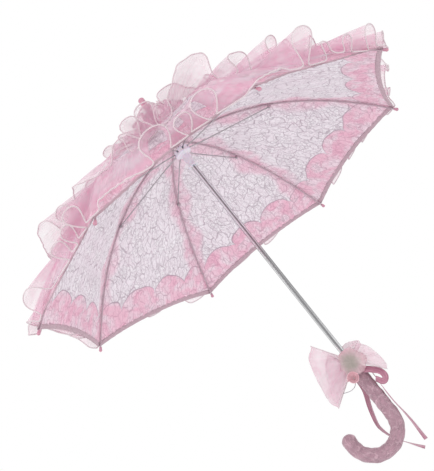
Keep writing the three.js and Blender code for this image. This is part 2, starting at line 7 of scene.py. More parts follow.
import logging
import math
from dataclasses import dataclass, field
from enum import Enum
from typing import Iterable, Optional, Union

import bpy
import numpy as np
from mathutils import Matrix, Vector


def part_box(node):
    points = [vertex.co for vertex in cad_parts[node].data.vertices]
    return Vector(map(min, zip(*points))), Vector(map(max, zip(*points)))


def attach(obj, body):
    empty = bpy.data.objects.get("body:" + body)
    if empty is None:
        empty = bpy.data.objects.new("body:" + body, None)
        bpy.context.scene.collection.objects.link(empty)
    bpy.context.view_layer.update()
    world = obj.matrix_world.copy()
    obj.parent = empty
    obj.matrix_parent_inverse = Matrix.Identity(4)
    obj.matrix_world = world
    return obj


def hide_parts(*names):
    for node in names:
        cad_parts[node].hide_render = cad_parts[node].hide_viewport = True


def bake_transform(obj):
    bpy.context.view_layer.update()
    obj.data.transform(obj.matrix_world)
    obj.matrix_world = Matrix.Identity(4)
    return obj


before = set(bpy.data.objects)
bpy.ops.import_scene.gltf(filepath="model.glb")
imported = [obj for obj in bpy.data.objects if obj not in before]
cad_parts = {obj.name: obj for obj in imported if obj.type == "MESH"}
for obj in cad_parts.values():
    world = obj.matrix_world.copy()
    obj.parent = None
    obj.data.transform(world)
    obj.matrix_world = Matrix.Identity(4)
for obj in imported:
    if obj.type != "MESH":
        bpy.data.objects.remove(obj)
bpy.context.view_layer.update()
LOG = logging.getLogger("parasol")

MM = 0.001
Colour = tuple[float, float, float, float]
Number = Union[float, "Value"]


class Side(Enum):
    """Which half of the cloth beside a rib: LEFT lies anticlockwise of it, seen from above."""

    LEFT = 1
    RIGHT = -1

    @property
    def word(self) -> str:
        """The side's word in node names."""
        return self.name.lower()


# ------------------------------------------------------------------ small tools
def srgb(red: int, green: int, blue: int) -> Colour:
    """Returns the linear colour of display values from 0 to 255."""
    parts = [value / 255 for value in (red, green, blue)]
    linear = [p / 12.92 if p <= 0.04045 else ((p + 0.055) / 1.055) ** 2.4 for p in parts]
    return (linear[0], linear[1], linear[2], 1.0)


def smooth(x: np.ndarray, low: float, high: float) -> np.ndarray:
    """Returns 0 below low, 1 above high, and 3t^2 - 2t^3 between them."""
    t = np.clip((x - low) / (high - low), 0.0, 1.0)
    return t * t * (3.0 - 2.0 * t)


def unit(vectors: np.ndarray) -> np.ndarray:
    """Returns the vectors at length one."""
    return vectors / np.maximum(np.linalg.norm(vectors, axis=-1, keepdims=True), 1e-12)


def drift(angle: np.ndarray, seed: int, slowest: int = 2, fastest: int = 9) -> np.ndarray:
    """A smooth wandering value round a circle.

    Formula: the sum over whole numbers k, from slowest to fastest, of a seeded weight times
    sin(k angle + seeded phase), scaled to a spread of about one.

    Args:
        angle: azimuths in radians.
        seed: which wandering line.
        slowest: fewest waves in a turn.
        fastest: most waves in a turn.

    Returns:
        Values with a root mean square of one over the circle.
    """
    rng = np.random.default_rng(seed)
    counts = np.arange(slowest, fastest + 1)
    weights = rng.uniform(0.5, 1.0, len(counts))
    phases = rng.uniform(0.0, 2.0 * np.pi, len(counts))
    waves = np.sin(angle[..., None] * counts + phases) * weights
    return waves.sum(axis=-1) / math.sqrt(float((weights ** 2).sum()) / 2.0)


def curve_through(points: Iterable[tuple[float, float, float]], count: int) -> np.ndarray:
    """A smooth line through points, evenly spaced.

    Formula: a uniform Catmull-Rom spline, with its ends carried on straight, read at equal arc lengths.

    Args:
        points: the points, in metres.
        count: how many stations the line has.

    Returns:
        An array of count points.
    """
    knots = np.array(list(points), float)
    knots = np.vstack([2 * knots[0] - knots[1], knots, 2 * knots[-1] - knots[-2]])
    spans = len(knots) - 3
    t = np.linspace(0.0, spans, 60 * spans + 1)
    i = np.minimum(t.astype(int), spans - 1)
    f = (t - i)[:, None]
    a, b, c, d = knots[i], knots[i + 1], knots[i + 2], knots[i + 3]
    fine = 0.5 * (2 * b + (c - a) * f + (2 * a - 5 * b + 4 * c - d) * f ** 2
                  + (3 * b - a - 3 * c + d) * f ** 3)
    run = run_along(fine)
    even = np.linspace(0.0, run[-1], count)
    return np.stack([np.interp(even, run, fine[:, k]) for k in range(3)], axis=1)


def length_of(path: np.ndarray) -> float:
    """Returns the length of a line of points."""
    return float(np.linalg.norm(np.diff(path, axis=0), axis=1).sum())


def run_along(path: np.ndarray) -> np.ndarray:
    """Returns the distance along a line of points at each of them."""
    return np.concatenate([[0.0], np.cumsum(np.linalg.norm(np.diff(path, axis=0), axis=1))])


def lengths(grid: np.ndarray, axis: int) -> np.ndarray:
    """Returns the length of every line that crosses a grid of points, down it (0) or across it (1)."""
    return np.linalg.norm(np.diff(grid, axis=axis), axis=2).sum(axis=axis)


def spread(*parts: Union[float, np.ndarray]) -> np.ndarray:
    """Returns points or map values from their coordinates, each spread over the whole grid."""
    return np.stack(np.broadcast_arrays(*parts), axis=-1)


# ------------------------------------------------------------------ meshes
def new_piece(name: str, points: np.ndarray, faces: np.ndarray, finish: bpy.types.Material,
              maps: Optional[dict[str, np.ndarray]] = None, period: float = 0.0) -> bpy.types.Object:
    """Makes a mesh object from arrays.

    Args:
        name: the piece's name.
        points: vertices, (n, 3).
        faces: four vertex numbers for each face, (m, 4).
        finish: the material.
        maps: for each UV map's name, two values for each vertex.
        period: how far U runs round a closed piece, so that the face over the join is mapped unbroken.

    Returns:
        The object, linked to the scene, at the origin.
    """
    mesh = bpy.data.meshes.new(name)
    mesh.from_pydata(points.tolist(), [], faces.tolist())
    mesh.polygons.foreach_set("use_smooth", np.ones(len(mesh.polygons), bool))
    corners = np.empty(len(mesh.loops), np.int32)
    mesh.loops.foreach_get("vertex_index", corners)
    for label, values in (maps or {}).items():
        layer = mesh.uv_layers.new(name=label)
        placed = values[corners].reshape(-1, 4, 2)
        if period:
            u = placed[..., 0]
            u += period * (u.max(axis=1, keepdims=True) - u > period / 2)
        layer.data.foreach_set("uv", placed.astype(np.float32).ravel())
    mesh.materials.append(finish)
    mesh.update()
    piece = bpy.data.objects.new(name, mesh)
    bpy.context.scene.collection.objects.link(piece)
    return piece


def grid_faces(rows: int, columns: int, wrap: bool = False, flip: bool = False) -> np.ndarray:
    """Numbers the four corners of every cell of a grid.

    Args:
        rows: points down the grid.
        columns: points across it.
        wrap: whether the last column joins the first.
        flip: whether the faces turn the other way round.

    Returns:
        An array (cells, 4).
    """
    across = columns if wrap else columns - 1
    row, column = np.meshgrid(np.arange(rows - 1), np.arange(across), indexing="ij")
    after = (column + 1) % columns
    here, below = row * columns, (row + 1) * columns
    corners = [here + column, here + after, below + after, below + column]
    faces = np.stack([c.ravel() for c in corners], axis=1)
    return faces[:, ::-1] if flip else faces


def cloth_piece(name: str, grid: np.ndarray, finish: bpy.types.Material, maps: dict[str, np.ndarray],
                flip: bool = False, period: float = 0.0) -> bpy.types.Object:
    """Makes a sheet from a grid of points (rows, columns, 3) and its maps (rows, columns, 2).

    Its last column joins its first where period, the length that U runs round, is given.
    """
    rows, columns = grid.shape[:2]
    flat = {label: values.reshape(-1, 2) for label, values in maps.items()}
    faces = grid_faces(rows, columns, period > 0, flip)
    return new_piece(name, grid.reshape(-1, 3), faces, finish, flat, period)


def tube_piece(name: str, path: np.ndarray, across: np.ndarray, radius: Union[float, np.ndarray],
               finish: bpy.types.Material, sides: int = 6, flat: float = 1.0) -> bpy.types.Object:
    """Carries a round or oval section along a path, with closed ends.

    Formula: the path point, plus radius times cos(turn) along the across vector squared to the path,
    plus flat times radius times sin(turn) along their cross product. The last rings draw in to the path.

    Args:
        name: the piece's name.
        path: the centre line, (n, 3).
        across: a direction at each station that isn't along the path, (n, 3) or (3,).
        radius: half the section's width, one value or one for each station.
        finish: the material.
        sides: sides of the section.
        flat: the section's other half width, as a share of radius.

    Returns:
        The object. Its UV map runs round the section and along the path, in metres.
    """
    along = unit(np.gradient(path, axis=0))
    side = unit(across - (across * along).sum(axis=-1, keepdims=True) * along)
    lift = np.cross(along, side)
    size = np.broadcast_to(np.asarray(radius, float), len(path))
    stations = np.concatenate([path[:1], path, path[-1:]])
    side = np.concatenate([side[:1], side, side[-1:]])
    lift = np.concatenate([lift[:1], lift, lift[-1:]])
    size = np.concatenate([[1e-6], size, [1e-6]])
    turn = np.linspace(0.0, 2.0 * np.pi, sides, endpoint=False)
    ring = (np.cos(turn)[None, :, None] * side[:, None] + flat * np.sin(turn)[None, :, None] * lift[:, None])
    points = stations[:, None] + size[:, None, None] * ring
    run = run_along(stations)
    girth = 2.0 * np.pi * float(np.mean(size))
    uv = spread(turn[None] / (2.0 * np.pi) * girth, run[:, None])
    return cloth_piece(name, points, finish, {"UVMap": uv}, True, girth)


# ------------------------------------------------------------------ shader maths
class Value:
    """A node's output that arithmetic can be written on."""

    def __init__(self, graph: "NodeSet", socket: bpy.types.NodeSocket) -> None:
        """Keeps the graph and the output socket."""
        self.graph = graph
        self.socket = socket

    def __add__(self, other: Number) -> "Value":
        """Adds."""
        return self.graph.math("ADD", self, other)

    def __radd__(self, other: Number) -> "Value":
        """Adds, with the plain number first."""
        return self.graph.math("ADD", other, self)

    def __sub__(self, other: Number) -> "Value":
        """Takes away."""
        return self.graph.math("SUBTRACT", self, other)

    def __rsub__(self, other: Number) -> "Value":
        """Takes this from a plain number."""
        return self.graph.math("SUBTRACT", other, self)

    def __mul__(self, other: Number) -> "Value":
        """Multiplies."""
        return self.graph.math("MULTIPLY", self, other)

    def __rmul__(self, other: Number) -> "Value":
        """Multiplies, with the plain number first."""
        return self.graph.math("MULTIPLY", other, self)

    def __truediv__(self, other: Number) -> "Value":
        """Divides."""
        return self.graph.math("DIVIDE", self, other)

    def __pow__(self, other: Number) -> "Value":
        """Raises to a power."""
        return self.graph.math("POWER", self, other)


class NodeSet:
    """The nodes of a material or of the surround."""

    def __init__(self, tree: bpy.types.NodeTree) -> None:
        """Empties the tree and keeps it."""
        self.tree = tree
        self.tree.nodes.clear()

    def node(self, kind: str, settings: Optional[dict] = None,
             inputs: Optional[dict] = None) -> bpy.types.Node:
        """Makes any node.

        Args:
            kind: the node's type.
            settings: its properties, set first. "stops" gives a colour ramp's positions and colours.
            inputs: plain values or Values for its input sockets, by name or number.

        Returns:
            The node.
        """
        made = self.tree.nodes.new(kind)
        for key, value in (settings or {}).items():
            if key == "stops":
                ramp = made.color_ramp.elements
                for place, _ in value[2:]:
                    ramp.new(place)
                for element, (place, colour) in zip(ramp, value):
                    element.position = place
                    element.color = colour
            else:
                setattr(made, key, value)
        self.feed(made, inputs or {})
        return made

    def feed(self, node: bpy.types.Node, inputs: dict) -> None:
        """Links Values to a node's inputs and sets plain values on them."""
        for key, value in inputs.items():
            if isinstance(value, Value):
                self.tree.links.new(value.socket, node.inputs[key])
            else:
                node.inputs[key].default_value = value

    def math(self, operation: str, *values: Number, clamp: bool = False) -> Value:
        """Returns a Math node's result."""
        made = self.node("ShaderNodeMath", {"operation": operation, "use_clamp": clamp},
                         dict(enumerate(values)))
        return Value(self, made.outputs[0])

    def vector(self, operation: str, *values: Union[Value, tuple], out: int = 0) -> Value:
        """Returns a Vector Math node's result. out is 1 for a length or a dot product."""
        made = self.node("ShaderNodeVectorMath", {"operation": operation}, dict(enumerate(values)))
        return Value(self, made.outputs[out])

    def mix(self, share: Number, first: Union[Value, Colour], second: Union[Value, Colour]) -> Value:
        """Returns a colour between first and second."""
        made = self.node("ShaderNodeMix", {"data_type": "RGBA"}, {0: share, 6: first, 7: second})
        return Value(self, made.outputs[2])

    def step(self, value: Value, low: float, high: float) -> Value:
        """Returns 0 to 1, smoothly, as value goes from low to high. low may be the larger."""
        made = self.node("ShaderNodeMapRange", {"interpolation_type": "SMOOTHSTEP"},
                         {0: value, 1: low, 2: high, 3: 0.0, 4: 1.0})
        return Value(self, made.outputs[0])

    def cloth_map(self, label: str = "UVMap") -> Value:
        """Returns a UV map, in metres."""
        return Value(self, self.node("ShaderNodeUVMap", {"uv_map": label}).outputs[0])

    def place(self) -> Value:
        """Returns Object coordinates."""
        return Value(self, self.node("ShaderNodeTexCoord").outputs["Object"])

    def parts(self, vector: Value) -> tuple[Value, Value, Value]:
        """Splits a vector."""
        made = self.node("ShaderNodeSeparateXYZ", {}, {0: vector})
        return tuple(Value(self, made.outputs[i]) for i in range(3))

    def noise(self, at: Value, pitch: float, detail: float = 2.0, rough: float = 0.5) -> Value:
        """Returns cloudy noise from 0 to 1, with lumps about pitch metres across."""
        made = self.node("ShaderNodeTexNoise", {}, {"Vector": at, "Scale": 1 / pitch, "Detail": detail,
                                                    "Roughness": rough})
        return Value(self, made.outputs[0])

    def noise_colour(self, at: Value, pitch: float, detail: float = 1.0) -> Value:
        """Returns three noises at once, for pushing a pattern about."""
        made = self.node("ShaderNodeTexNoise", {}, {"Vector": at, "Scale": 1 / pitch, "Detail": detail})
        return Value(self, made.outputs[1])

    def cells(self, at: Value, feature: str, loose: float = 0.9, out: str = "Distance") -> Value:
        """Returns a Voronoi pattern in cells of one unit: its distance, colour or cell position."""
        made = self.node("ShaderNodeTexVoronoi", {"voronoi_dimensions": "2D", "feature": feature},
                         {"Vector": at, "Scale": 1.0, "Randomness": loose})
        return Value(self, made.outputs[out])

    def pushed(self, at: Value, pitch: float, reach: float) -> Value:
        """Returns coordinates pushed about by noise, by up to half of reach."""
        offset = self.vector("SUBTRACT", self.noise_colour(at, pitch), (0.5, 0.5, 0.5))
        return self.vector("ADD", at, self.vector("MULTIPLY", offset, (reach, reach, reach)))

    def bump(self, height: Value, depth: float, strength: float = 1.0) -> Value:
        """Returns a normal from a height of 0 to 1, depth metres deep."""
        made = self.node("ShaderNodeBump", {}, {"Height": height, "Distance": depth, "Strength": strength})
        return Value(self, made.outputs[0])


class Graph(NodeSet):
    """One material's nodes, ending in a Principled surface."""

    def __init__(self, name: str) -> None:
        """Starts a material with a Principled surface and its output."""
        self.material = bpy.data.materials.new(name)
        self.material.use_nodes = True
        super().__init__(self.material.node_tree)
        self.surface = self.node("ShaderNodeBsdfPrincipled")
        self.node("ShaderNodeOutputMaterial", {}, {"Surface": Value(self, self.surface.outputs[0])})

    def look(self, **inputs: Union[Number, Colour]) -> None:
        """Sets the Principled surface's sockets, with _ for the spaces in their names."""
        self.feed(self.surface, {key.replace("_", " "): value for key, value in inputs.items()})


# ------------------------------------------------------------------ finishes
@dataclass(frozen=True)
class Finish:
    """A finish: its name, its main colour and its roughness."""

    name: str
    colour: Colour
    roughness: float

    def paint(self, graph: Graph) -> None:
        """Lays the finish on the graph's surface."""
        raise NotImplementedError

    def material(self) -> bpy.types.Material:
        """Returns the material, made once for each name."""
        kept = bpy.data.materials.get(self.name)
        if kept is not None:
            return kept
        graph = Graph(self.name)
        self.paint(graph)
        return graph.material


@dataclass(frozen=True)
class BareMetal(Finish):
    """Plated or drawn metal with faint lengthwise drawing lines and a little tarnish."""

    tarnish: Colour = srgb(120, 112, 118)
    tarnish_share: float = 0.25
    line_pitch: float = 0.0006

    def paint(self, graph: Graph) -> None:
        """Drawing lines run along Z and change the roughness; tarnish clouds change the colour."""
        at = graph.place()
        lines = graph.noise(graph.vector("MULTIPLY", at, (1.0, 1.0, 0.02)), self.line_pitch)
        cloud = graph.step(graph.noise(at, 0.02, 3.0), 0.45, 0.75)
        graph.look(Base_Color=graph.mix(cloud * self.tarnish_share, self.colour, self.tarnish),
                   Metallic=1.0, Roughness=self.roughness + lines * 0.08 + cloud * 0.06,
                   Normal=graph.bump(lines, 0.00001, 0.3))


@dataclass(frozen=True)
class PolishedTube(BareMetal):
    """Plated tube with painted reflection: long dark and bright lines in its colour, as a polished round bar
    reflects its surroundings.
    """

    # painted reflection: the colour of the dark lines that a polished tube reflects
    dark: Colour = srgb(52, 50, 54)
    # painted reflection: places round the tube, as a share of a turn, and how dark the painted reflection is
    # there
    lines: tuple[tuple[float, float], ...] = (
        (0.0, 0.9), (0.08, 0.85), (0.11, 0.0), (0.215, 0.0), (0.240, 0.72), (0.31, 0.68), (0.335, 0.0),
        (0.40, 0.0), (0.43, 0.8), (0.55, 0.2), (0.8, 0.3), (1.0, 0.9))

    def paint(self, graph: Graph) -> None:
        """The painted reflection's darkness goes by the angle round the tube; drawing lines roughen it."""
        at = graph.place()
        x, y, _ = graph.parts(at)
        angle = graph.math("ARCTAN2", y, x) / (2 * math.pi) + 0.5
        bands = graph.node("ShaderNodeValToRGB", {"stops": [
            (place, (dark, dark, dark, 1.0)) for place, dark in self.lines]}, {0: angle})
        drawn = graph.noise(graph.vector("MULTIPLY", at, (1.0, 1.0, 0.02)), self.line_pitch)
        # the base colour carries the painted reflection lines
        graph.look(Base_Color=graph.mix(Value(graph, bands.outputs[0]), self.colour, self.dark), Metallic=1.0,
                   Roughness=self.roughness + drawn * 0.08, Normal=graph.bump(drawn, 0.00001, 0.3))


@dataclass(frozen=True)
class Enamel(Finish):
    """Thin mauve enamel on the rib wire, worn to a darker tone in places."""

    worn: Colour = srgb(158, 138, 148)

    def paint(self, graph: Graph) -> None:
        """Wear shows as darker flecks; an orange-peel bump catches the light."""
        at = graph.place()
        wear = graph.step(graph.noise(at, 0.006, 4.0, 0.6), 0.55, 0.7)
        peel = graph.noise(at, 0.0012)
        graph.look(Base_Color=graph.mix(wear * 0.6, self.colour, self.worn), Metallic=0.35,
                   Roughness=self.roughness + wear * 0.15, Normal=graph.bump(peel, 0.00005, 0.4))


@dataclass(frozen=True)
class Moulding(Finish):
    """Moulded plastic with a waxy body, faint flow clouds and fine scuffs."""

    scuff: Colour = srgb(200, 195, 205)
    coat: float = 0.2

    def paint(self, graph: Graph) -> None:
        """Flow clouds shift the colour slightly, and scuffs roughen it."""
        at = graph.place()
        cloud = graph.noise(at, 0.012, 2.0)
        along = graph.vector("MULTIPLY", at, (1.0, 1.0, 0.3))
        scuffs = graph.step(graph.noise(along, 0.0015, 4.0), 0.6, 0.75)
        graph.look(Base_Color=graph.mix(cloud * 0.25 + scuffs * 0.3, self.colour, self.scuff),
                   Roughness=self.roughness + scuffs * 0.2, Coat_Weight=self.coat, Coat_Roughness=0.2,
                   Subsurface_Weight=0.15, Subsurface_Scale=0.002, Normal=graph.bump(cloud, 0.0001, 0.3))


@dataclass(frozen=True)
class NetLace(Finish):
    """Corded net lace: a fine net ground, leafy fillings, petalled flowers and darker cord outlines.

    The cloth is tinted pink beside the ribs and in a lobed band along the hem, where trim is sewn behind it.
    """

    cord: Colour = srgb(156, 137, 152)
    tint: Colour = srgb(243, 192, 212)
    tint_cord: Colour = srgb(204, 144, 170)
    filling: Colour = srgb(250, 246, 250)
    net_pitch: float = 0.0024
    vine_size: tuple[float, float] = (0.0088, 0.030)
    tendril_pitch: float = 0.0125
    leaf_size: tuple[float, float] = (0.0052, 0.0095)
    flower_size: float = 0.040
    hem_band: float = 0.036
    lobe_height: float = 0.026
    lobe_width: float = 0.066
    rib_band: float = 0.017

    def paint(self, graph: Graph) -> None:
        """Builds the threads' mask for Alpha, their colour, and a bump from their height."""
        at = graph.cloth_map()
        lateral, along, _ = graph.parts(at)
        loose = graph.pushed(graph.pushed(at, 0.034, 0.022), 0.011, 0.007)
        fine = graph.pushed(at, 0.008, 0.007)

        vine = graph.cells(self.scaled(graph, loose, self.vine_size), "DISTANCE_TO_EDGE")
        leaf = graph.cells(self.scaled(graph, fine, self.leaf_size), "DISTANCE_TO_EDGE")
        net = graph.cells(self.scaled(graph, at, (self.net_pitch, self.net_pitch)), "DISTANCE_TO_EDGE", 0.35)
        flower, petal_rim = self.flowers(graph, loose)

        stretched = graph.vector("MULTIPLY", fine, (1.0, 0.40, 0.0))
        winding = graph.noise(stretched, self.tendril_pitch, 1.0) * 22.0
        tendril = graph.math("ABSOLUTE", graph.math("SINE", winding))
        tendril_cord = graph.step(tendril, 0.42, 0.12)
        vine_cord = graph.step(vine, 0.060, 0.022)
        leaf_cord = graph.step(leaf, 0.11, 0.03)
        net_thread = graph.step(net, 0.17, 0.07)
        crowd = graph.step(graph.noise(at, 0.030, 2.0), 0.40, 0.62)
        thin = graph.math("MAXIMUM", petal_rim * 0.7, tendril_cord * 0.55)
        cord = graph.math("MAXIMUM", vine_cord * 0.85, thin)
        cord = graph.math("MAXIMUM", cord, leaf_cord * (0.15 + crowd * 0.3))

        band, rim = self.tinted(graph, lateral, along)
        patch = graph.step(graph.noise(loose, 0.024, 2.0), 0.34, 0.62)
        pink = band * (0.40 + patch * 0.60)
        outline = graph.math("MAXIMUM", cord * 0.80, rim * 0.9)

        ground = graph.mix(flower * 0.5 + crowd * 0.2, self.colour, self.filling)
        ground = graph.mix(pink, ground, self.tint)
        thread = graph.mix(pink, self.cord, self.tint_cord)
        cover = graph.math("MAXIMUM", net_thread * 0.14 + 0.78 + crowd * 0.06, flower * 0.95)
        graph.look(Base_Color=graph.mix(outline, ground, thread), Roughness=self.roughness,
                   Alpha=graph.math("MAXIMUM", cover, graph.math("MAXIMUM", cord, rim) * 0.97, clamp=True),
                   Normal=graph.bump(cord + net_thread * 0.4 + flower * 0.3, 0.0004, 0.7),
                   Sheen_Weight=0.15, Specular_IOR_Level=0.25)

    def scaled(self, graph: Graph, at: Value, size: tuple[float, float]) -> Value:
        """Returns coordinates counted in cells of that width and length."""
        return graph.vector("MULTIPLY", at, (1 / size[0], 1 / size[1], 0.0))

    def flowers(self, graph: Graph, at: Value) -> tuple[Value, Value]:
        """Five-petalled flowers, one in each large cell.

        Formula: with r and phi measured from the cell's centre, the petal edge lies at
        0.30 + 0.09 cos(5 phi + a turn of its own), and the heart is a ring at a quarter of that.

        Returns:
            The filled mask and the rim's mask.
        """
        at = self.scaled(graph, at, (self.flower_size, self.flower_size))
        middle = graph.cells(at, "F1", 0.75, "Position")
        x, y, _ = graph.parts(graph.vector("SUBTRACT", at, middle))
        own_turn, _, _ = graph.parts(graph.cells(at, "F1", 0.75, "Color"))
        radius = graph.math("SQRT", x * x + y * y)
        petals = graph.math("COSINE", graph.math("ARCTAN2", y, x) * 5.0 + own_turn * 6.28)
        edge = petals * 0.09 + 0.30
        inside = graph.step(radius - edge, 0.01, -0.02)
        rim = graph.step(graph.math("ABSOLUTE", radius - edge), 0.028, 0.010)
        heart = graph.step(graph.math("ABSOLUTE", radius - edge * 0.3), 0.024, 0.008)
        return inside, graph.math("MAXIMUM", rim, heart)

    def tinted(self, graph: Graph, lateral: Value, along: Value) -> tuple[Value, Value]:
        """The pink zones, and the thin dark line along the hem zone's lobes.

        Formula: the hem zone ends at hem_band + lobe_height times the square root of |sin| across the lobes.
        """
        hem, rib, _ = graph.parts(graph.cloth_map("Edges"))
        near, _, _ = graph.parts(graph.pushed(graph.cloth_map(), 0.05, 0.040))
        swing = graph.math("ABSOLUTE", graph.math("SINE", near * (math.pi / self.lobe_width) + 0.6))
        lobe = self.hem_band + self.lobe_height * graph.math("SQRT", swing)
        wander = graph.math("SINE", along * 62.0 + lateral * 20.0) * 0.006 + (near - lateral) * 0.4
        hem_zone = graph.step(hem - lobe, 0.0015, -0.0025)
        rib_zone = graph.step(rib - (self.rib_band + wander), 0.005, -0.007)
        rim = graph.step(graph.math("ABSOLUTE", hem - lobe), 0.0014, 0.0005)
        return graph.math("MAXIMUM", hem_zone, rib_zone * 0.75), rim


@dataclass(frozen=True)
class Organza(Finish):
    """Sheer organza: crisp, cloudy where threads bunch, with a fine weave."""

    pale: Colour = srgb(244, 222, 233)
    cover: float = 0.46
    cover_swing: float = 0.26
    weave_pitch: float = 0.0009
    edge_fade: float = 0.0
    edge_zone: tuple[float, float] = (0.055, 0.120)

    def paint(self, graph: Graph) -> None:
        """Threads of both ways raise a fine bump; clouds of bunched threads change colour and cover.

        The cloth thins by edge_fade towards its free edge, where the gathers have spread out.
        """
        at = graph.cloth_map()
        x, y, _ = graph.parts(at)
        cloud = graph.noise(at, 0.030, 3.0, 0.55)
        streak = graph.noise(graph.vector("MULTIPLY", at, (1.0, 0.18, 0.0)), 0.0035, 2.0)
        weft = graph.math("SINE", x * (2 * math.pi / self.weave_pitch))
        warp = graph.math("SINE", y * (2 * math.pi / self.weave_pitch))
        thick = cloud * 0.65 + streak * 0.35
        cover = self.cover - graph.step(y, *self.edge_zone) * self.edge_fade
        body = graph.mix(graph.step(thick, 0.30, 0.70), self.pale, self.colour)
        graph.look(Base_Color=self.shade_at(graph, body),
                   Roughness=self.roughness, Sheen_Weight=0.25, Specular_IOR_Level=0.3,
                   Alpha=graph.math("ADD", (thick - 0.5) * (self.cover_swing * 2), cover, clamp=True),
                   Normal=graph.bump(weft * warp * 0.5 + streak, 0.0003, 0.5))

    def shade_at(self, graph: Graph, colour: Value) -> Value:
        """Returns the cloth's colour where it lies, with any painted shade. Plain organza has none and is the
        same all over.
        """
        return colour


@dataclass(frozen=True)
class BunchedTulle(Organza):
    """Tulle gathered into a knot: pink at its rim, with grey-green painted shade at its middle, where many
    layers cross.
    """

    # heart: the colour of the painted shade at the knot's middle
    heart: Colour = srgb(186, 186, 174)
    heart_at: tuple[float, float, float] = (-0.001, -0.020, 0.036)
    heart_reach: tuple[float, float] = (0.020, 0.007)

    def shade_at(self, graph: Graph, colour: Value) -> Value:
        """Blends to the heart's grey-green painted shade by the distance from its centre, broken up by
        clouds.
        """
        away = graph.vector("SUBTRACT", graph.place(), self.heart_at)
        distance = graph.vector("LENGTH", graph.vector("MULTIPLY", away, (1.0, 0.3, 1.0)), out=1)
        cloud = (graph.noise(graph.place(), 0.007, 2.0) - 0.5) * 0.012
        # painted shade: grey-green towards the knot's middle
        return graph.mix(graph.step(distance + cloud, *self.heart_reach) * 0.85, colour, self.heart)


@dataclass(frozen=True)
class Cording(Finish):
    """Twisted thread rolled over an edge: slanting strands with shade between them."""

    shade: Colour = srgb(196, 178, 184)
    twist_pitch: float = 0.0022

    def paint(self, graph: Graph) -> None:
        """Strands are a sine of the distance along plus the distance round."""
        x, y, _ = graph.parts(graph.cloth_map())
        strand = graph.math("SINE", (x + y) * (2 * math.pi / self.twist_pitch)) * 0.5 + 0.5
        graph.look(Base_Color=graph.mix(strand, self.shade, self.colour), Roughness=self.roughness,
                   Sheen_Weight=0.2, Normal=graph.bump(strand, 0.0002, 0.6))


@dataclass(frozen=True)
class Satin(Finish):
    """Satin ribbon: lengthwise painted sheen bands in its colour and a fine ribbed edge."""

    # light: the colour of the painted sheen bands
    light: Colour = srgb(196, 138, 160)

    def paint(self, graph: Graph) -> None:
        """Stretched noise along the ribbon makes the painted sheen bands; a fine sine makes the ribs."""
        at = graph.cloth_map()
        _, y, _ = graph.parts(at)
        bands = graph.noise(graph.vector("MULTIPLY", at, (1.0, 0.12, 0.0)), 0.0018, 3.0)
        ribs = graph.math("SINE", y * (2 * math.pi / 0.0008)) * 0.5 + 0.5
        # the lighter colour along the bands is painted sheen
        graph.look(Base_Color=graph.mix(graph.step(bands, 0.35, 0.7), self.colour, self.light),
                   Roughness=self.roughness + bands * 0.15, Sheen_Weight=0.4,
                   Normal=graph.bump(bands + ribs * 0.3, 0.0001, 0.5))


@dataclass(frozen=True)
class SleeveLace(Finish):
    """Stretched lace drawn tight over the grip: raised veins on a darker net."""

    vein: Colour = srgb(222, 190, 200)
    deep: Colour = srgb(160, 124, 138)
    cell: tuple[float, float] = (0.0060, 0.016)

    def paint(self, graph: Graph) -> None:
        """Long stretched cells give the veins, and a fine net fills them."""
        at = graph.pushed(graph.cloth_map(), 0.007, 0.009)
        wide = graph.vector("MULTIPLY", at, (1 / self.cell[0], 1 / self.cell[1], 0.0))
        vein = graph.step(graph.cells(wide, "DISTANCE_TO_EDGE"), 0.12, 0.02)
        net = graph.cells(graph.vector("MULTIPLY", at, (700.0, 700.0, 0.0)), "DISTANCE_TO_EDGE", 0.5)
        mesh = graph.step(net, 0.22, 0.06)
        cloud = graph.step(graph.noise(at, 0.011, 3.0), 0.35, 0.65)
        ground = graph.mix(mesh * 0.5 + cloud * 0.4, self.deep, self.colour)
        graph.look(Base_Color=graph.mix(vein * 0.42, ground, self.vein), Roughness=self.roughness,
                   Sheen_Weight=0.3, Normal=graph.bump(vein + mesh * 0.35, 0.0007, 0.9))


class Finishes:
    """Every finish on the parasol."""

    # the chrome's dark and bright lines are painted reflection
    chrome = PolishedTube("chrome_plate", srgb(250, 250, 252), 0.16)
    wire = BareMetal("drawn_wire", srgb(176, 172, 176), 0.30)
    joint = BareMetal("dark_joint_wire", srgb(110, 104, 108), 0.35, tarnish_share=0.5)
    enamel = Enamel("rib_enamel", srgb(188, 164, 175), 0.45, worn=srgb(210, 196, 202))
    white = Moulding("white_moulding", srgb(238, 232, 242), 0.38)
    pink = Moulding("pink_moulding", srgb(204, 146, 166), 0.36, scuff=srgb(188, 132, 152), coat=0.25)
    core = Moulding("core_moulding", srgb(206, 160, 178), 0.5, scuff=srgb(180, 132, 150), coat=0.0)
    lace = NetLace("net_lace", srgb(246, 239, 246), 0.85)
    organza = Organza("flounce_organza", srgb(231, 162, 192), 0.6, edge_fade=0.16)
    crown_organza = Organza("crown_organza", srgb(236, 178, 202), 0.6, cover=0.34, cover_swing=0.22)
    bow_organza = Organza("bow_organza", srgb(226, 174, 194), 0.6, pale=srgb(246, 228, 236), cover=0.42)
    # the tulle's grey-green heart is painted shade
    tulle = BunchedTulle("bunched_tulle", srgb(230, 188, 198), 0.75, pale=srgb(240, 214, 220), cover=0.56)
    cording = Cording("edge_cording", srgb(240, 226, 230), 0.7)
    hem_tape = Cording("hem_tape_weave", srgb(206, 178, 188), 0.75, shade=srgb(178, 148, 160),
                       twist_pitch=0.0012)
    # the light colours of both satin finishes are painted sheen
    satin = Satin("satin_ribbon", srgb(164, 102, 124), 0.34)
    rose = Satin("rose_ribbon", srgb(230, 182, 192), 0.4, light=srgb(246, 214, 220))
    sleeve = SleeveLace("sleeve_lace", srgb(198, 158, 172), 0.7)


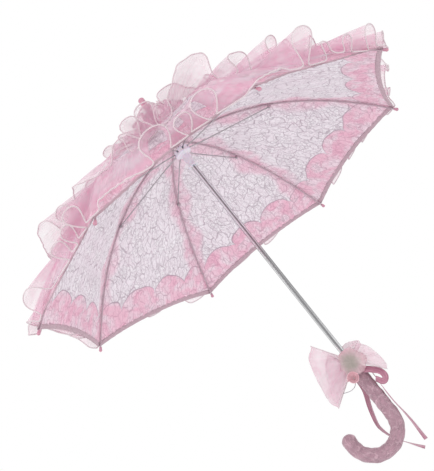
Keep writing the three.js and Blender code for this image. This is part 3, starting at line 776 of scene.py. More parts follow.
# ------------------------------------------------------------------ studio
@dataclass
class Studio:
    """Camera, white surround, soft lamps and a pale floor."""

    target: Vector = field(default_factory=lambda: Vector((0.0, 0.0, 0.328)))
    elevation: float = math.radians(-17.76)
    roll: float = math.radians(-38.685)
    turn: float = math.radians(1.557)
    distance: float = 1.534
    lens_mm: float = 76.85
    shift: tuple[float, float] = (-0.0296, -0.04875)
    floor_height: float = -0.42
    floor_reach: float = 6.0
    bands: tuple[tuple[float, float], ...] = (
        (0.0, 0.95), (0.10, 0.20), (0.17, 0.12), (0.25, 0.95), (0.36, 1.0), (0.43, 0.15), (0.50, 0.10),
        (0.56, 0.9), (0.70, 1.0), (0.80, 0.55), (0.90, 1.0), (1.0, 0.95))

    def axes(self) -> Matrix:
        """Returns the camera's right, up and back directions as columns.

        The camera looks level along +Y, is tilted by elevation, rolled about its own view line and turned
        about Z.
        """
        back = Vector((0.0, -math.cos(self.elevation), math.sin(self.elevation)))
        right = Vector((1.0, 0.0, 0.0))
        up = back.cross(right)
        c, s = math.cos(self.roll), math.sin(self.roll)
        rolled = Matrix((c * right + s * up, c * up - s * right, back)).transposed()
        return Matrix.Rotation(self.turn, 3, "Z") @ rolled

    def camera(self) -> None:
        """Sets the camera at the chosen angle."""
        data = bpy.data.cameras.new("studio_camera")
        data.lens = self.lens_mm
        data.shift_x, data.shift_y = self.shift
        data.clip_start, data.clip_end = 0.05, 30.0
        camera = bpy.data.objects.new("studio_camera", data)
        axes = self.axes()
        camera.matrix_world = Matrix.Translation(self.target + axes.col[2] * self.distance) @ axes.to_4x4()
        bpy.context.scene.collection.objects.link(camera)
        bpy.context.scene.camera = camera

    def surround(self) -> None:
        """A white surround. Gloss alone sees it in soft bands, as a tent with gaps would look in chrome."""
        world = bpy.data.worlds.new("studio_surround")
        world.use_nodes = True
        bpy.context.scene.world = world
        nodes = NodeSet(world.node_tree)
        turn = nodes.node("ShaderNodeTexGradient", {"gradient_type": "RADIAL"}, {
            0: Value(nodes, nodes.node("ShaderNodeTexCoord").outputs["Generated"])})
        bands = nodes.node("ShaderNodeValToRGB", {"stops": [
            (place, (level, level, level, 1.0)) for place, level in self.bands]},
            {0: Value(nodes, turn.outputs[0])})
        gloss = Value(nodes, nodes.node("ShaderNodeLightPath").outputs["Is Glossy Ray"])
        colour = nodes.mix(gloss, (1.0, 1.0, 1.0, 1.0), Value(nodes, bands.outputs[0]))
        light = nodes.node("ShaderNodeBackground", {}, {"Color": colour, "Strength": 1.0})
        nodes.node("ShaderNodeOutputWorld", {}, {"Surface": Value(nodes, light.outputs[0])})

    def lamp(self, name: str, at: tuple[float, float, float], size: float, watts: float) -> None:
        """Hangs a square soft lamp that faces the parasol."""
        data = bpy.data.lights.new(name, "AREA")
        data.size = size
        data.energy = watts
        lamp = bpy.data.objects.new(name, data)
        lamp.location = at
        lamp.rotation_mode = "QUATERNION"
        lamp.rotation_quaternion = (self.target - Vector(at)).to_track_quat("-Z", "Y")
        bpy.context.scene.collection.objects.link(lamp)

    def floor(self) -> None:
        """Lays a pale floor well under the handle."""
        reach = self.floor_reach
        corners = np.array([(-reach, -reach), (reach, -reach), (reach, reach), (-reach, reach)])
        points = np.column_stack([corners, np.full(4, self.floor_height)])
        graph = Graph("studio_floor_paint")
        grain = graph.noise(graph.place(), 0.02, 2.0)
        graph.look(Base_Color=graph.mix(grain, srgb(244, 244, 245), srgb(248, 248, 248)), Roughness=0.9)
        floor = new_piece("studio_floor", points, np.array([[0, 1, 2, 3]]), graph.material)

    def build(self) -> None:
        """Builds the whole studio."""
        self.camera()
        self.surround()
        self.lamp("key_lamp", (-1.4, -1.8, 1.4), 1.2, 14.0)
        self.lamp("fill_lamp", (1.8, -0.6, -0.2), 1.4, 5.0)
        self.floor()
        bpy.context.scene.view_settings.view_transform = "Standard"


# ------------------------------------------------------------------ the dome's surface
@dataclass
class Dome:
    """The surface that the ribs carry. A share of 0 is the rib pivots and 1 the ribs' ends.

    The rib's curve is r = pivot + (reach - pivot) t and z = top - rise t^power, read at equal arc lengths.
    Between two ribs the cloth is straight across, so r shrinks by cos H / cos(H - |d|), where H is half a
    gore and d the azimuth from the nearest rib. It also sags by sag sin(pi share) (1 - (1 - a)^2).
    """

    rib_count: int = 8
    first_rib: float = math.radians(22.5)
    pivot_radius: float = 0.010
    power: float = 2.3
    rise: float = 0.150
    sag: float = 0.008
    hem_share: float = 0.985
    hem_scallop: float = 0.035
    end_inset: float = 0.0006
    table_reach: float = 1.2
    table_steps: int = 2401
    slope_step: float = 0.004

    def __post_init__(self) -> None:
        """Reads the ribs' reach and height from the frame, and tabulates the rib's curve."""
        _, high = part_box("rib_1")
        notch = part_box("notch_wire")
        self.half = math.pi / self.rib_count
        self.top = (notch[0].z + notch[1].z) / 2
        self.reach = math.hypot(high.x, high.y) - self.end_inset
        t = np.linspace(0.0, self.table_reach, self.table_steps)
        self._r = self.pivot_radius + (self.reach - self.pivot_radius) * t
        self._z = self.top - self.rise * t ** self.power
        run = np.concatenate([[0.0], np.cumsum(np.hypot(np.diff(self._r), np.diff(self._z)))])
        self.rib_length = float(np.interp(1.0, t, run))
        self._share = run / self.rib_length

    def rib_azimuth(self, number: int) -> float:
        """Returns the azimuth of a rib, counted from 1."""
        return self.first_rib + (number - 1) * 2 * math.pi / self.rib_count

    def from_rib(self, azimuth: np.ndarray) -> np.ndarray:
        """Returns the azimuth from the nearest rib, from -half to half."""
        pitch = 2 * self.half
        return (azimuth - self.first_rib + self.half) % pitch - self.half

    def across(self, azimuth: np.ndarray) -> np.ndarray:
        """Returns 0 at a rib and 1 at a gore's middle, in even steps along the chord."""
        tangent = np.tan(np.abs(self.from_rib(azimuth)))
        s, c = math.sin(self.half), math.cos(self.half)
        return tangent / (s * c + tangent * s * s)

    def hem(self, azimuth: np.ndarray) -> np.ndarray:
        """Returns the share where the lace ends, drawn in between the ribs."""
        return self.hem_share - self.hem_scallop * (1 - (1 - self.across(azimuth)) ** 2)

    def radius(self, share: np.ndarray, azimuth: np.ndarray) -> np.ndarray:
        """Returns the distance from the shaft's axis."""
        chord = math.cos(self.half) / np.cos(self.half - np.abs(self.from_rib(azimuth)))
        return np.interp(share, self._share, self._r) * chord

    def point(self, share: np.ndarray, azimuth: np.ndarray, lift: np.ndarray,
              turn: Union[float, np.ndarray] = 0.0) -> np.ndarray:
        """Returns points on the cloth.

        Args:
            share: how far out, along the rib.
            azimuth: where round the dome.
            lift: height over the cloth's middle line, along the rib's normal.
            turn: azimuth added after the shape, 0 except for a shifted point.

        Returns:
            Points, with one more axis than the arguments.
        """
        share, azimuth, lift, turn = np.broadcast_arrays(share, azimuth, lift, turn)
        r = self.radius(share, azimuth)
        z = np.interp(share, self._share, self._z)
        away = 1 - (1 - self.across(azimuth)) ** 2
        z = z - self.sag * np.sin(math.pi * np.clip(share, 0, 1)) * away
        after, before = share + self.slope_step, share - self.slope_step
        dr = np.interp(after, self._share, self._r) - np.interp(before, self._share, self._r)
        dz = np.interp(after, self._share, self._z) - np.interp(before, self._share, self._z)
        size = np.hypot(dr, dz)
        r = r - dz / size * lift
        z = z + dr / size * lift
        heading = azimuth + turn
        return np.stack([r * np.cos(heading), r * np.sin(heading), z], axis=-1)

    def sector(self, number: int, side: Side, columns: int) -> np.ndarray:
        """Returns azimuths from a rib to the middle of the gore beside it."""
        return self.rib_azimuth(number) + side.value * np.linspace(0.0, self.half, columns)

    def hang(self, piece: bpy.types.Object, number: int, side: Side, reach: float = 0.028) -> None:
        """Bakes the piece's placement into its mesh."""
        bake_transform(piece)


# ------------------------------------------------------------------ canopy
@dataclass
class Canopy:
    """Sixteen half gores of lace, with the hem tape round their edge."""

    dome: Dome
    rows: int = 64
    columns: int = 26
    clearance: float = 0.0026
    first_radius: float = 0.016
    pucker: float = 0.0011
    pucker_pitch: float = 0.0125
    pucker_zone: tuple[float, float] = (0.72, 0.99)
    pucker_radius: float = 0.3
    ripple: float = 0.0012
    motif_shift: tuple[float, float] = (0.37, 0.21)
    tape_width: float = 0.0078
    tape_thickness: float = 0.0016
    tape_inset: float = 0.007
    tape_back: float = 0.02

    def lace_lift(self, share: np.ndarray, azimuth: np.ndarray) -> np.ndarray:
        """Height of the lace over the rib's centre line.

        Formula: the clearance, plus puckers that are a sine of the distance round the hem, fading away
        from it, plus a slow ripple along each rib seam.
        """
        hem = self.dome.hem(azimuth)
        near = smooth(share, *self.pucker_zone) * smooth(self.dome.across(azimuth), 0.0, 0.15)
        turns = round(2 * math.pi * self.pucker_radius / self.pucker_pitch)
        wave = np.sin(turns * azimuth + 1.2 * drift(azimuth, 11, 5, 16))
        slow = (self.ripple * np.sin(math.pi * self.dome.across(azimuth))
                * np.sin(22 * share + 2 * drift(azimuth, 5, 3, 7)))
        return self.clearance + self.pucker * wave * near * smooth(hem - share, -0.01, 0.02) + slow

    def half_gore(self, number: int, side: Side) -> bpy.types.Object:
        """Makes one half gore of lace from the crown to the hem."""
        azimuth = self.dome.sector(number, side, self.columns)[None, :]
        down = np.linspace(0.0, 1.0, self.rows)[:, None]
        hem = self.dome.hem(azimuth)
        first = (self.first_radius - self.dome.pivot_radius) / self.dome.rib_length
        share = first + (hem - first) * down
        grid = self.dome.point(share, azimuth, self.lace_lift(share, azimuth))
        distance = self.dome.half - np.abs(self.dome.from_rib(azimuth - side.value * 1e-9))
        lateral = side.value * -1.0 * self.dome.radius(share, azimuth) * np.sin(distance)
        along = share * self.dome.rib_length
        gore = number if side is Side.LEFT else (number - 2) % self.dome.rib_count + 1
        pattern = spread(lateral + self.motif_shift[0] * gore, along + self.motif_shift[1] * gore)
        from_rib = self.dome.radius(share, azimuth) * np.sin(self.dome.half - distance)
        edges = spread((hem - share) * self.dome.rib_length, from_rib)
        return cloth_piece(f"lace_gore_{number}_{side.word}", grid, Finishes.lace.material(),
                           {"UVMap": pattern, "Edges": edges}, flip=side is Side.LEFT)

    def tape(self, number: int, side: Side) -> bpy.types.Object:
        """Makes the folded tape along one half gore's hem."""
        azimuth = self.dome.sector(number, side, self.columns * 2)
        hem = self.dome.hem(azimuth)
        path = self.dome.point(hem - self.tape_inset, azimuth, self.lace_lift(hem, azimuth))
        inner = self.dome.point(hem - self.tape_back, azimuth, self.lace_lift(hem, azimuth))
        return tube_piece(f"hem_tape_{number}_{side.word}", path, path - inner, self.tape_width / 2,
                          Finishes.hem_tape.material(), sides=10, flat=self.tape_thickness / self.tape_width)

    def build(self) -> None:
        """Builds every half gore and its tape."""
        for number in range(1, self.dome.rib_count + 1):
            for side in Side:
                lace, tape = self.half_gore(number, side), self.tape(number, side)
                self.dome.hang(lace, number, side)
                self.dome.hang(tape, number, side)
                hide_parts(f"gore_{number}_{side.word}")
        LOG.info("canopy: %d half gores of lace", 2 * self.dome.rib_count)


# ------------------------------------------------------------------ flounces
@dataclass
class Tier:
    """One flounce round the dome: where it is sewn, where its free edge falls, and how it waves.

    No fold swings further than `tallest` times the tier's swing.
    """

    name: str
    sewn: float
    edge: float
    waves: int
    lift: float
    swing: float
    overhang: float
    seed: int
    follows_hem: bool = False
    columns: int = 60
    rows: int = 18
    tallest: float = 1.75


@dataclass
class Flounces:
    """Three tiers of gathered organza, each in sixteen pieces with a corded edge."""

    dome: Dome
    gather_depth: float = 0.0016
    gathers_per_wave: int = 6
    cord_radius: float = 0.00095
    seam_lift: float = 0.0045
    least_lift: float = 0.0040
    least_rise: float = 0.0015
    least_round: float = 0.003
    least_radius: float = 0.02
    edge_wave: float = 0.011
    edge_wander: float = 0.008
    tiers: tuple[Tier, ...] = (
        Tier("hem", 0.66, 0.992, 29, 0.0135, 0.0225, 0.0085, 3, True, 96, 20),
        Tier("middle", 0.35, 0.690, 24, 0.020, 0.024, 0.0090, 4, False, 84, 20, 0.95),
        Tier("crown", 0.085, 0.400, 14, 0.011, 0.018, 0.0080, 8, False, 66, 20, 1.10),
    )

    def surface(self, tier: Tier, azimuth: np.ndarray, down: np.ndarray) -> np.ndarray:
        """Points of a flounce.

        Formula: with theta = waves * azimuth + drift, and v from 0 at the seam to 1 at the free edge,
        lift = rise v^0.7 + swing v^1.2 sin(theta) + gathers that fade as v grows,
        the azimuth shifts by -overhang v^1.5 sin(2 theta) / r, so that each wave bulges over its foot,
        and the free edge runs in and out by a share of cos(theta). A flounce that follows the hem is held
        lower beside the ribs.

        Args:
            tier: the flounce.
            azimuth: positions round the dome.
            down: v, from 0 to 1.

        Returns:
            Points (v, azimuth, 3).
        """
        theta = tier.waves * azimuth + 2.2 * drift(azimuth, tier.seed, 3, 11)
        strong = np.clip(1.0 + 0.50 * drift(azimuth, tier.seed + 20, 5, 21), 0.25, tier.tallest)
        tall = np.clip(1.0 + 0.30 * drift(azimuth, tier.seed + 40, 2, 9), 0.5, 1.4)
        edge = tier.edge
        if tier.follows_hem:
            edge = self.dome.hem(azimuth) + (tier.edge - self.dome.hem_share)
            held = 0.62 + 0.38 * self.dome.across(azimuth)
            strong, tall = strong * held, tall * held
        edge = (edge + self.edge_wave * np.cos(theta + 0.8)
                + self.edge_wander * drift(azimuth, tier.seed + 60, 4, 15))
        share = tier.sewn + (edge - tier.sewn) * down
        pleat = np.sin(tier.waves * self.gathers_per_wave * azimuth
                       + 2.0 * drift(azimuth, tier.seed + 80, 5, 19))
        lift = (self.seam_lift + tier.lift * tall * down ** 0.7
                + tier.swing * strong * down ** 1.2 * np.sin(theta)
                + self.gather_depth * (1 - 0.75 * down) * pleat * smooth(down, -0.2, 0.15))
        floor = self.least_lift + self.least_rise * down
        lift = floor + np.logaddexp(0.0, (lift - floor) / self.least_round) * self.least_round
        radius = np.maximum(self.dome.radius(share, azimuth), self.least_radius)
        shift = -tier.overhang * np.clip(strong, 0.4, 1.6) * down ** 1.5 * np.sin(2 * theta) / radius
        return self.dome.point(share, azimuth, lift, shift)

    def piece(self, tier: Tier, number: int, side: Side) -> None:
        azimuth = self.dome.sector(number, side, tier.columns)
        down = np.linspace(0.0, 1.0, tier.rows)[:, None]
        grid = self.surface(tier, azimuth[None, :], down)
        edge = grid[-1]
        round_edge = run_along(edge)
        depth = float(lengths(grid, 0).mean())
        pattern = spread(round_edge[None, :] + 0.5 * number, down * depth)
        name = f"flounce_{tier.name}_{number}_{side.word}"
        cloth = cloth_piece(name, grid, Finishes.organza.material(), {"UVMap": pattern},
                            flip=side is Side.LEFT)
        cord = tube_piece(f"{name}_cord", edge, grid[-1] - grid[-3], self.cord_radius,
                          Finishes.cording.material())
        for part in (cloth, cord):
            self.dome.hang(part, number, side)

    def build(self) -> None:
        """Builds every tier."""
        for tier in self.tiers:
            for number in range(1, self.dome.rib_count + 1):
                for side in Side:
                    self.piece(tier, number, side)
            LOG.info("flounce: %s tier, %d waves", tier.name, tier.waves)


@dataclass
class CrownRuffle:
    """The gathered cap and the two upright ruffles round the ferrule."""

    columns: int = 420
    rows: int = 22
    cord_radius: float = 0.00105
    cap_hole: float = 0.0046
    foot_lift: float = 0.0008

    def ruffle(self, name: str, foot: tuple[float, float], edge: tuple[float, float], waves: int,
               swing: float, seed: int) -> bpy.types.Object:
        """Makes an upright ruffle, a full turn, with its corded edge.

        Formula: with theta = waves * azimuth + drift, the radius and height run from foot to edge as v^1.2
        and v^0.8, and the wave pushes out and down by swing v^1.3 sin(theta) across that line.

        Args:
            name: the piece's name.
            foot: radius and height of the gathered foot.
            edge: mean radius and height of the free edge.
            waves: folds in the turn.
            swing: how far a fold stands out.
            seed: which wandering line.

        Returns:
            The cloth.
        """
        azimuth = np.linspace(0.0, 2 * np.pi, self.columns, endpoint=False)[None, :]
        v = np.linspace(0.0, 1.0, self.rows)[:, None]
        theta = waves * azimuth + 1.3 * drift(azimuth, seed, 2, 5)
        strong = 1.0 + 0.3 * drift(azimuth, seed + 1, 2, 7)
        fold = swing * strong * v ** 1.3 * np.sin(theta)
        rise, out = edge[1] - foot[1], edge[0] - foot[0]
        size = math.hypot(rise, out)
        radius = foot[0] + out * v ** 1.2 + fold * rise / size
        height = (foot[1] + rise * v ** 0.8 - fold * out / size * 0.7
                  + 0.004 * v * drift(azimuth, seed + 2, 3, 9))
        gathers = 0.0006 * np.sin(8 * waves * azimuth) * (1 - 0.8 * v)
        shift = -0.0075 * strong * v ** 1.4 * np.sin(2 * theta) / np.maximum(radius, 0.008)
        heading = azimuth + shift
        radius = radius + gathers
        grid = np.stack([radius * np.cos(heading), radius * np.sin(heading), height], axis=-1)
        depth = math.hypot(rise, out) * 1.05
        edge_line = np.vstack([grid[-1], grid[-1][:1]])
        round_it = length_of(edge_line)
        pattern = spread(azimuth / (2 * np.pi) * round_it, v * depth)
        cloth = cloth_piece(name, grid, Finishes.crown_organza.material(), {"UVMap": pattern},
                            period=round_it)
        across = np.vstack([grid[-1] - grid[-3], (grid[-1] - grid[-3])[:1]])
        cord = tube_piece(f"{name}_cord", edge_line, across, self.cord_radius, Finishes.cording.material())
        for part in (cloth, cord):
            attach(part, "frame")
        return cloth

    def cap(self) -> bpy.types.Object:
        """Makes the gathered disc under the ruffles, pleated like a bottle cap towards its rim."""
        low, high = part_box("crown_cap")
        outer, inner = high.x, self.cap_hole
        azimuth = np.linspace(0.0, 2 * np.pi, 240, endpoint=False)[None, :]
        v = np.linspace(0.0, 1.0, 14)[:, None]
        radius = inner + (outer - inner) * v + 0 * azimuth
        height = (low.z + high.z) / 2 + 0.0006 * np.sin(40 * azimuth) * v
        grid = spread(radius * np.cos(azimuth), radius * np.sin(azimuth), height)
        pattern = spread(azimuth * outer, v * outer)
        cap = cloth_piece("crown_cap_cloth", grid, Finishes.organza.material(), {"UVMap": pattern},
                          period=2 * math.pi * outer)
        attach(cap, "frame")
        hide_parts("crown_cap")
        return cap

    def build(self) -> None:
        """Builds the cap and both ruffles."""
        self.cap()
        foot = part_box("crown_ruffle")[0].z + self.foot_lift
        inner = self.ruffle("crown_ruffle_inner", (0.0066, foot), (0.026, foot + 0.050), 6, 0.010, 31)
        self.ruffle("crown_ruffle_outer", (0.0085, foot), (0.053, foot + 0.026), 9, 0.011, 41)
        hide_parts("crown_ruffle")
        LOG.info("crown: cap and two ruffles")


# ------------------------------------------------------------------ metal and mouldings
class Metalwork:
    """Finishes for the frame's own pieces, which keep their shapes."""

    def dress(self, names: Iterable[str], finish: Finish) -> None:
        """Lays a finish on CAD nodes."""
        for name in names:
            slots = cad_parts[name].data.materials
            slots.clear()
            slots.append(finish.material())

    def build(self) -> None:
        """Dresses every metal and moulded node."""
        ribs = range(1, 9)
        self.dress(["shaft_tube"], Finishes.chrome)
        self.dress(["top_catch", "bottom_catch", "notch_wire", "runner_wire"], Finishes.joint)
        self.dress([f"stretcher_{n}" for n in ribs], Finishes.wire)
        self.dress([f"rib_{n}" for n in ribs], Finishes.enamel)
        self.dress([f"rib_bead_{n}" for n in ribs] + ["ferrule", "handle_collar"], Finishes.pink)
        self.dress(["top_notch", "runner"], Finishes.white)
        self.dress(["handle_core"], Finishes.core)
        LOG.info("metalwork and mouldings dressed")


# ------------------------------------------------------------------ handle
@dataclass
class CrookHandle:
    """The lace sleeve drawn over the grip and the crook, with its rounded end."""

    radius: float = 0.0103
    crook_radius: float = 0.036
    sweep: float = math.radians(192)
    stations: int = 260
    sides: int = 40
    wrinkle: float = 0.00028
    top_gap: float = 0.0003
    grip_foot: float = -0.053

    def line(self, run: np.ndarray, top: float, bottom: float) -> tuple[np.ndarray, np.ndarray]:
        """The centre line and its direction.

        Formula: straight down from top to bottom, then round a circle of crook_radius centred at
        (-crook_radius, bottom), through sweep, and then straight on.
        """
        straight = top - bottom
        arc = self.crook_radius * self.sweep
        turn = np.clip((run - straight) / self.crook_radius, 0.0, self.sweep)
        beyond = np.maximum(run - straight - arc, 0.0)
        x = -self.crook_radius + self.crook_radius * np.cos(turn)
        z = np.where(run < straight, top - run, bottom - self.crook_radius * np.sin(turn))
        along = np.stack([-np.sin(turn), 0 * turn, -np.cos(turn)], axis=-1)
        return np.stack([x, 0 * x, z], axis=-1) + beyond[:, None] * along, along

    def build(self) -> None:
        """Makes the sleeve, closed at its rounded end and turned in at its top."""
        low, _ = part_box("handle_collar")
        top, bottom = low.z - self.top_gap, self.grip_foot
        total = (top - bottom) + self.crook_radius * self.sweep
        body = np.linspace(0.0, total, self.stations)
        dome = np.linspace(0.08, 1.0, 12) * (math.pi / 2)
        run = np.concatenate([[0.0015, 0.0, 0.0], body, total + 0.85 * self.radius * np.sin(dome)])
        scale = np.concatenate([[0.93, 0.94, 0.97], np.ones(self.stations), np.cos(dome)])
        scale[-1] = 1e-4
        centre, along = self.line(run, top, bottom)
        across = np.array([0.0, 1.0, 0.0])
        out = np.cross(along, across)
        turn = np.linspace(0.0, 2 * np.pi, self.sides, endpoint=False)
        ruck = (np.sin(7 * turn[None] + 260 * run[:, None]) + np.sin(4 * turn[None] - 410 * run[:, None])
                + 0.7 * np.sin(11 * turn[None] + 90 * run[:, None])) * self.wrinkle
        size = self.radius * scale[:, None] * (1 + 0 * turn[None]) + ruck * smooth(scale[:, None], 0.5, 1.0)
        ring = np.cos(turn)[None, :, None] * out[:, None] + np.sin(turn)[None, :, None] * across
        points = centre[:, None] + size[..., None] * ring
        uv = spread(turn[None] * self.radius, run[:, None])
        around = 2 * math.pi * self.radius
        sleeve = cloth_piece("lace_sleeve", points, Finishes.sleeve.material(), {"UVMap": uv}, period=around)
        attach(sleeve, "frame")
        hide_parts("handle_sleeve", "handle_end_cap")
        LOG.info("handle: lace sleeve %.0f mm long", total / MM)


# ------------------------------------------------------------------ bow and ribbons
@dataclass
class Bow:
    """Organza loops, the tulle bunch that ties them, a ribbon rose and a wired edge."""

    front: float = -0.0106
    rows: int = 34
    columns: int = 60
    ripple: float = 0.0035
    crimp: float = 0.0012
    belly: float = 0.004
    edge_cord: float = 0.0006
    bunch_middle: tuple[float, float, float] = (0.0015, -0.0195, 0.035)
    bunch_size: tuple[float, float, float] = (0.0200, 0.0092, 0.0200)
    bunch_map: float = 0.016
    rose_middle: tuple[float, float, float] = (-0.0102, -0.0230, 0.0155)
    rose_depth: float = 0.0085
    ribbon_width: float = 0.010
    wire_radius: float = 0.0005

    def loop(self, name: str, knot: tuple, fold: tuple, depth: float, middle: float, pleats: float,
             seed: int, replaced: Optional[str] = None) -> None:
        """Makes a flattened loop of organza.

        Formula: U runs from 0 at the knot to 1 at the outer fold and 2 at the knot again. The outline runs
        from the knot line to the fold line by sin(pi U / 2), and its outer corners are drawn in. The layers
        part by depth sin(pi U), and pleats are a sine across the band that is deepest near the knot.

        Args:
            name: the piece's name.
            knot: x and z of the knot line's lower and upper end.
            fold: x and z of the fold line's lower and upper end.
            depth: how far the layers part.
            middle: y of the loop's middle.
            pleats: pleats across the band.
            seed: which wandering line.
            replaced: the CAD node it stands for.
        """
        band = np.linspace(0.0, 1.0, self.rows)[:, None]
        u = np.linspace(0.0, 2.0, self.columns)[None, :]
        drawn_in = 0.24 * smooth(band, 0.64, 1.0) ** 2 + 0.14 * smooth(band, 0.24, 0.0) ** 2
        out = np.sin(math.pi * u / 2) ** 0.9 * (1 - drawn_in)
        inner = np.array(knot[0]) + (np.array(knot[1]) - np.array(knot[0])) * band[..., None]
        outer = np.array(fold[0]) + (np.array(fold[1]) - np.array(fold[0])) * band[..., None]
        flat = inner + (outer - inner) * out[..., None]
        wander = drift(math.pi * (band + 0.4 * u), seed, 1, 4)
        fading = (1 - 0.55 * out) * np.minimum(1.0, 4 * out)
        ripple = self.ripple * np.sin(2 * math.pi * pleats * band + wander) * fading
        crimp = self.crimp * np.sin(2 * math.pi * (2.3 * pleats) * band + 2.0 * wander) * out
        y = middle - depth * np.sin(math.pi * u) * (0.55 + 0.45 * np.sin(math.pi * band)) + ripple + crimp
        belly = self.belly * np.sin(math.pi * band) * out
        away = np.sign(fold[0][0] - knot[0][0])
        grid = spread(flat[..., 0] + away * belly, y, flat[..., 1])
        width = float(lengths(grid, 0).max())
        length = float(lengths(grid, 1).mean())
        uv = spread(u * length / 2, band * width)
        cloth = cloth_piece(name, grid, Finishes.bow_organza.material(), {"UVMap": uv})
        cords = []
        for label, row, inside in (("lower", 0, 2), ("upper", -1, -3)):
            cords.append(tube_piece(f"{name}_{label}_cord", grid[row], grid[row] - grid[inside],
                                    self.edge_cord, Finishes.cording.material()))
        for part in (cloth, *cords):
            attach(part, "frame")
        if replaced:
            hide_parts(replaced)

    def bunch(self) -> None:
        """Makes the crumpled tulle over the tie.

        Formula: an ellipsoid whose radius swells and sinks by slow sines of three and five lobes and fine
        ones of nineteen and thirty-one pleats round its front axis, slanted by the distance from the front.
        """
        middle, size = np.array(self.bunch_middle), np.array(self.bunch_size)
        polar = np.linspace(0.0, math.pi, 46)[:, None]
        turn = np.linspace(0.0, 2 * np.pi, 96, endpoint=False)[None, :]
        rim = np.sin(polar) ** 1.2
        folds = (1 + 0.07 * rim * np.sin(3 * turn + 2.1 * polar)
                 + 0.05 * rim * np.sin(5 * turn - 3 * polar + 1.0)
                 + 0.028 * rim * np.sin(19 * turn + 4 * polar) + 0.016 * rim * np.sin(31 * turn - 7 * polar))
        ball = spread(np.sin(polar) * np.cos(turn), -np.cos(polar), np.sin(polar) * np.sin(turn))
        grid = middle + size * ball * folds[..., None]
        uv = spread(turn * self.bunch_map, polar * self.bunch_map)
        bunch = cloth_piece("tulle_bunch", grid, Finishes.tulle.material(), {"UVMap": uv},
                            period=2 * math.pi * self.bunch_map)
        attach(bunch, "frame")
        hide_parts("bow_knot")

    def rose(self) -> None:
        """Makes the rolled ribbon rose.

        Formula: a strip wound in a spiral of three and a half turns, drawn together at its foot, whose free
        edge flares outwards and dips once in every third of a turn.
        """
        middle = np.array(self.rose_middle)
        turn = np.linspace(0.0, 7 * math.pi, 170)[None, :]
        v = np.linspace(0.0, 1.0, 12)[:, None]
        radius = (0.0002 + 0.00034 * turn) * (0.25 + 0.75 * v ** 0.6) + 0.0018 * v ** 2 * (0.2 + turn / 22.0)
        height = self.rose_depth * v * (1 - 0.18 * (turn / 22.0)) - 0.0012 * v * np.sin(3 * turn)
        grid = spread(radius * np.cos(turn), -height, radius * np.sin(turn)) + middle
        length = float(lengths(grid, 1).mean())
        uv = spread(v * self.ribbon_width, turn / turn.max() * length)
        rose = cloth_piece("ribbon_rose", grid, Finishes.rose.material(), {"UVMap": uv})
        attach(rose, "frame")

    def build(self) -> None:
        """Builds the whole bow."""
        front = self.front
        self.bunch()
        self.loop("bow_loop_back", ((-0.010, 0.026), (-0.006, 0.052)), ((-0.061, -0.008), (-0.038, 0.102)),
                  0.0045, front - 0.0045, 3.0, 51, "bow_loop_left")
        self.loop("bow_loop_front", ((-0.012, 0.024), (-0.008, 0.046)), ((-0.057, -0.004), (-0.020, 0.072)),
                  0.0035, front - 0.0125, 2.4, 57)
        self.loop("bow_loop_far", ((0.012, 0.026), (0.010, 0.046)), ((0.0385, -0.007), (0.029, 0.055)),
                  0.0050, front - 0.0065, 3.0, 53, "bow_loop_right")
        self.loop("bow_loop_top", ((0.000, 0.044), (0.012, 0.044)), ((0.004, 0.069), (0.033, 0.054)),
                  0.0035, 0.0120, 2.6, 59)
        self.rose()
        wire = curve_through([(-0.038, front - 0.010, 0.010), (-0.031, front - 0.012, 0.0065),
                              (-0.024, front - 0.012, 0.0045), (-0.017, front - 0.011, 0.0055),
                              (-0.011, front - 0.009, 0.011)], 30)
        edge = tube_piece("bow_edge_wire", wire, np.array([0.0, 1.0, 0.0]), self.wire_radius,
                          Finishes.wire.material())
        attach(edge, "frame")
        LOG.info("bow: four loops, tulle bunch and rose")


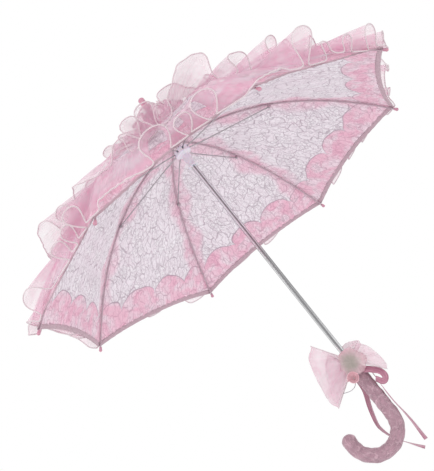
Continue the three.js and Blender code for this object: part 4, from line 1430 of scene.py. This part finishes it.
@dataclass
class Ribbons:
    """The satin ribbon's loop and its two tails."""

    width: float = 0.010
    front: float = -0.0106
    behind: float = 0.0193

    def ribbon(self, name: str, points: list[tuple[float, float, float]], twist: tuple[float, float],
               replaced: str) -> None:
        """Makes a length of ribbon.

        Formula: a smooth line through points in millimetres; the width lies along Y, turned about the line
        by an angle that goes from the first to the second value of twist, and a slow wave bellies it.
        """
        path = curve_through([(x * MM, y * MM, z * MM) for x, y, z in points], 90)
        along = unit(np.gradient(path, axis=0))
        across = np.array([0.0, 1.0, 0.0])
        side = unit(across - (across * along).sum(axis=-1, keepdims=True) * along)
        lift = np.cross(along, side)
        share = np.linspace(0.0, 1.0, len(path))
        angle = twist[0] + (twist[1] - twist[0]) * share ** 2
        blade = side * np.cos(angle)[:, None] + lift * np.sin(angle)[:, None]
        face = np.cross(along, blade)
        v = np.linspace(-0.5, 0.5, 9)
        cup = 0.0009 * (v ** 2 * 4)[None, :, None] * face[:, None] * np.cos(9 * share)[:, None, None]
        grid = path[:, None] + self.width * v[None, :, None] * blade[:, None] + cup
        length = length_of(path)
        uv = spread(v[None] * self.width, share[:, None] * length)
        cloth = cloth_piece(name, grid, Finishes.satin.material(), {"UVMap": uv})
        solid = cloth.modifiers.new("thickness", "SOLIDIFY")
        solid.thickness = 0.0003
        solid.offset = 0.0
        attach(cloth, "frame")
        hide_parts(replaced)

    def build(self) -> None:
        """Builds the loop and both tails."""
        front, behind = self.front / MM, self.behind / MM
        self.ribbon("satin_loop", [(7, front - 4, 19), (17, front - 4, 11), (25, front - 4, 2),
                                   (26, front - 4, -8), (20, front - 4, -12), (13, front - 3, -3)],
                    (1.20, 0.85), "ribbon_loop")
        self.ribbon("satin_tail_left", [(-9, behind - 4, 14), (-11, behind, -4), (-19, behind, -26),
                                        (-26, behind, -50), (-26, behind, -62), (-22, behind, -76),
                                        (-11, behind, -94), (7, behind, -116)],
                    (0.75, -0.50), "ribbon_tail_left")
        self.ribbon("satin_tail_right", [(14.6, -5, 12), (14.2, -2, -10), (14.0, 0, -36), (14.6, 0, -64),
                                         (15.4, -1, -90), (16, -2, -109)], (0.0, 0.55), "ribbon_tail_right")
        LOG.info("ribbons: a loop and two tails")


def main() -> None:
    """Builds the studio and then every sub-assembly in order."""
    logging.basicConfig(level=logging.INFO, format="%(name)s: %(message)s")
    Studio().build()
    dome = Dome()
    Metalwork().build()
    Canopy(dome).build()
    Flounces(dome).build()
    CrownRuffle().build()
    CrookHandle().build()
    Bow().build()
    Ribbons().build()


if __name__ == "__main__":
    main()
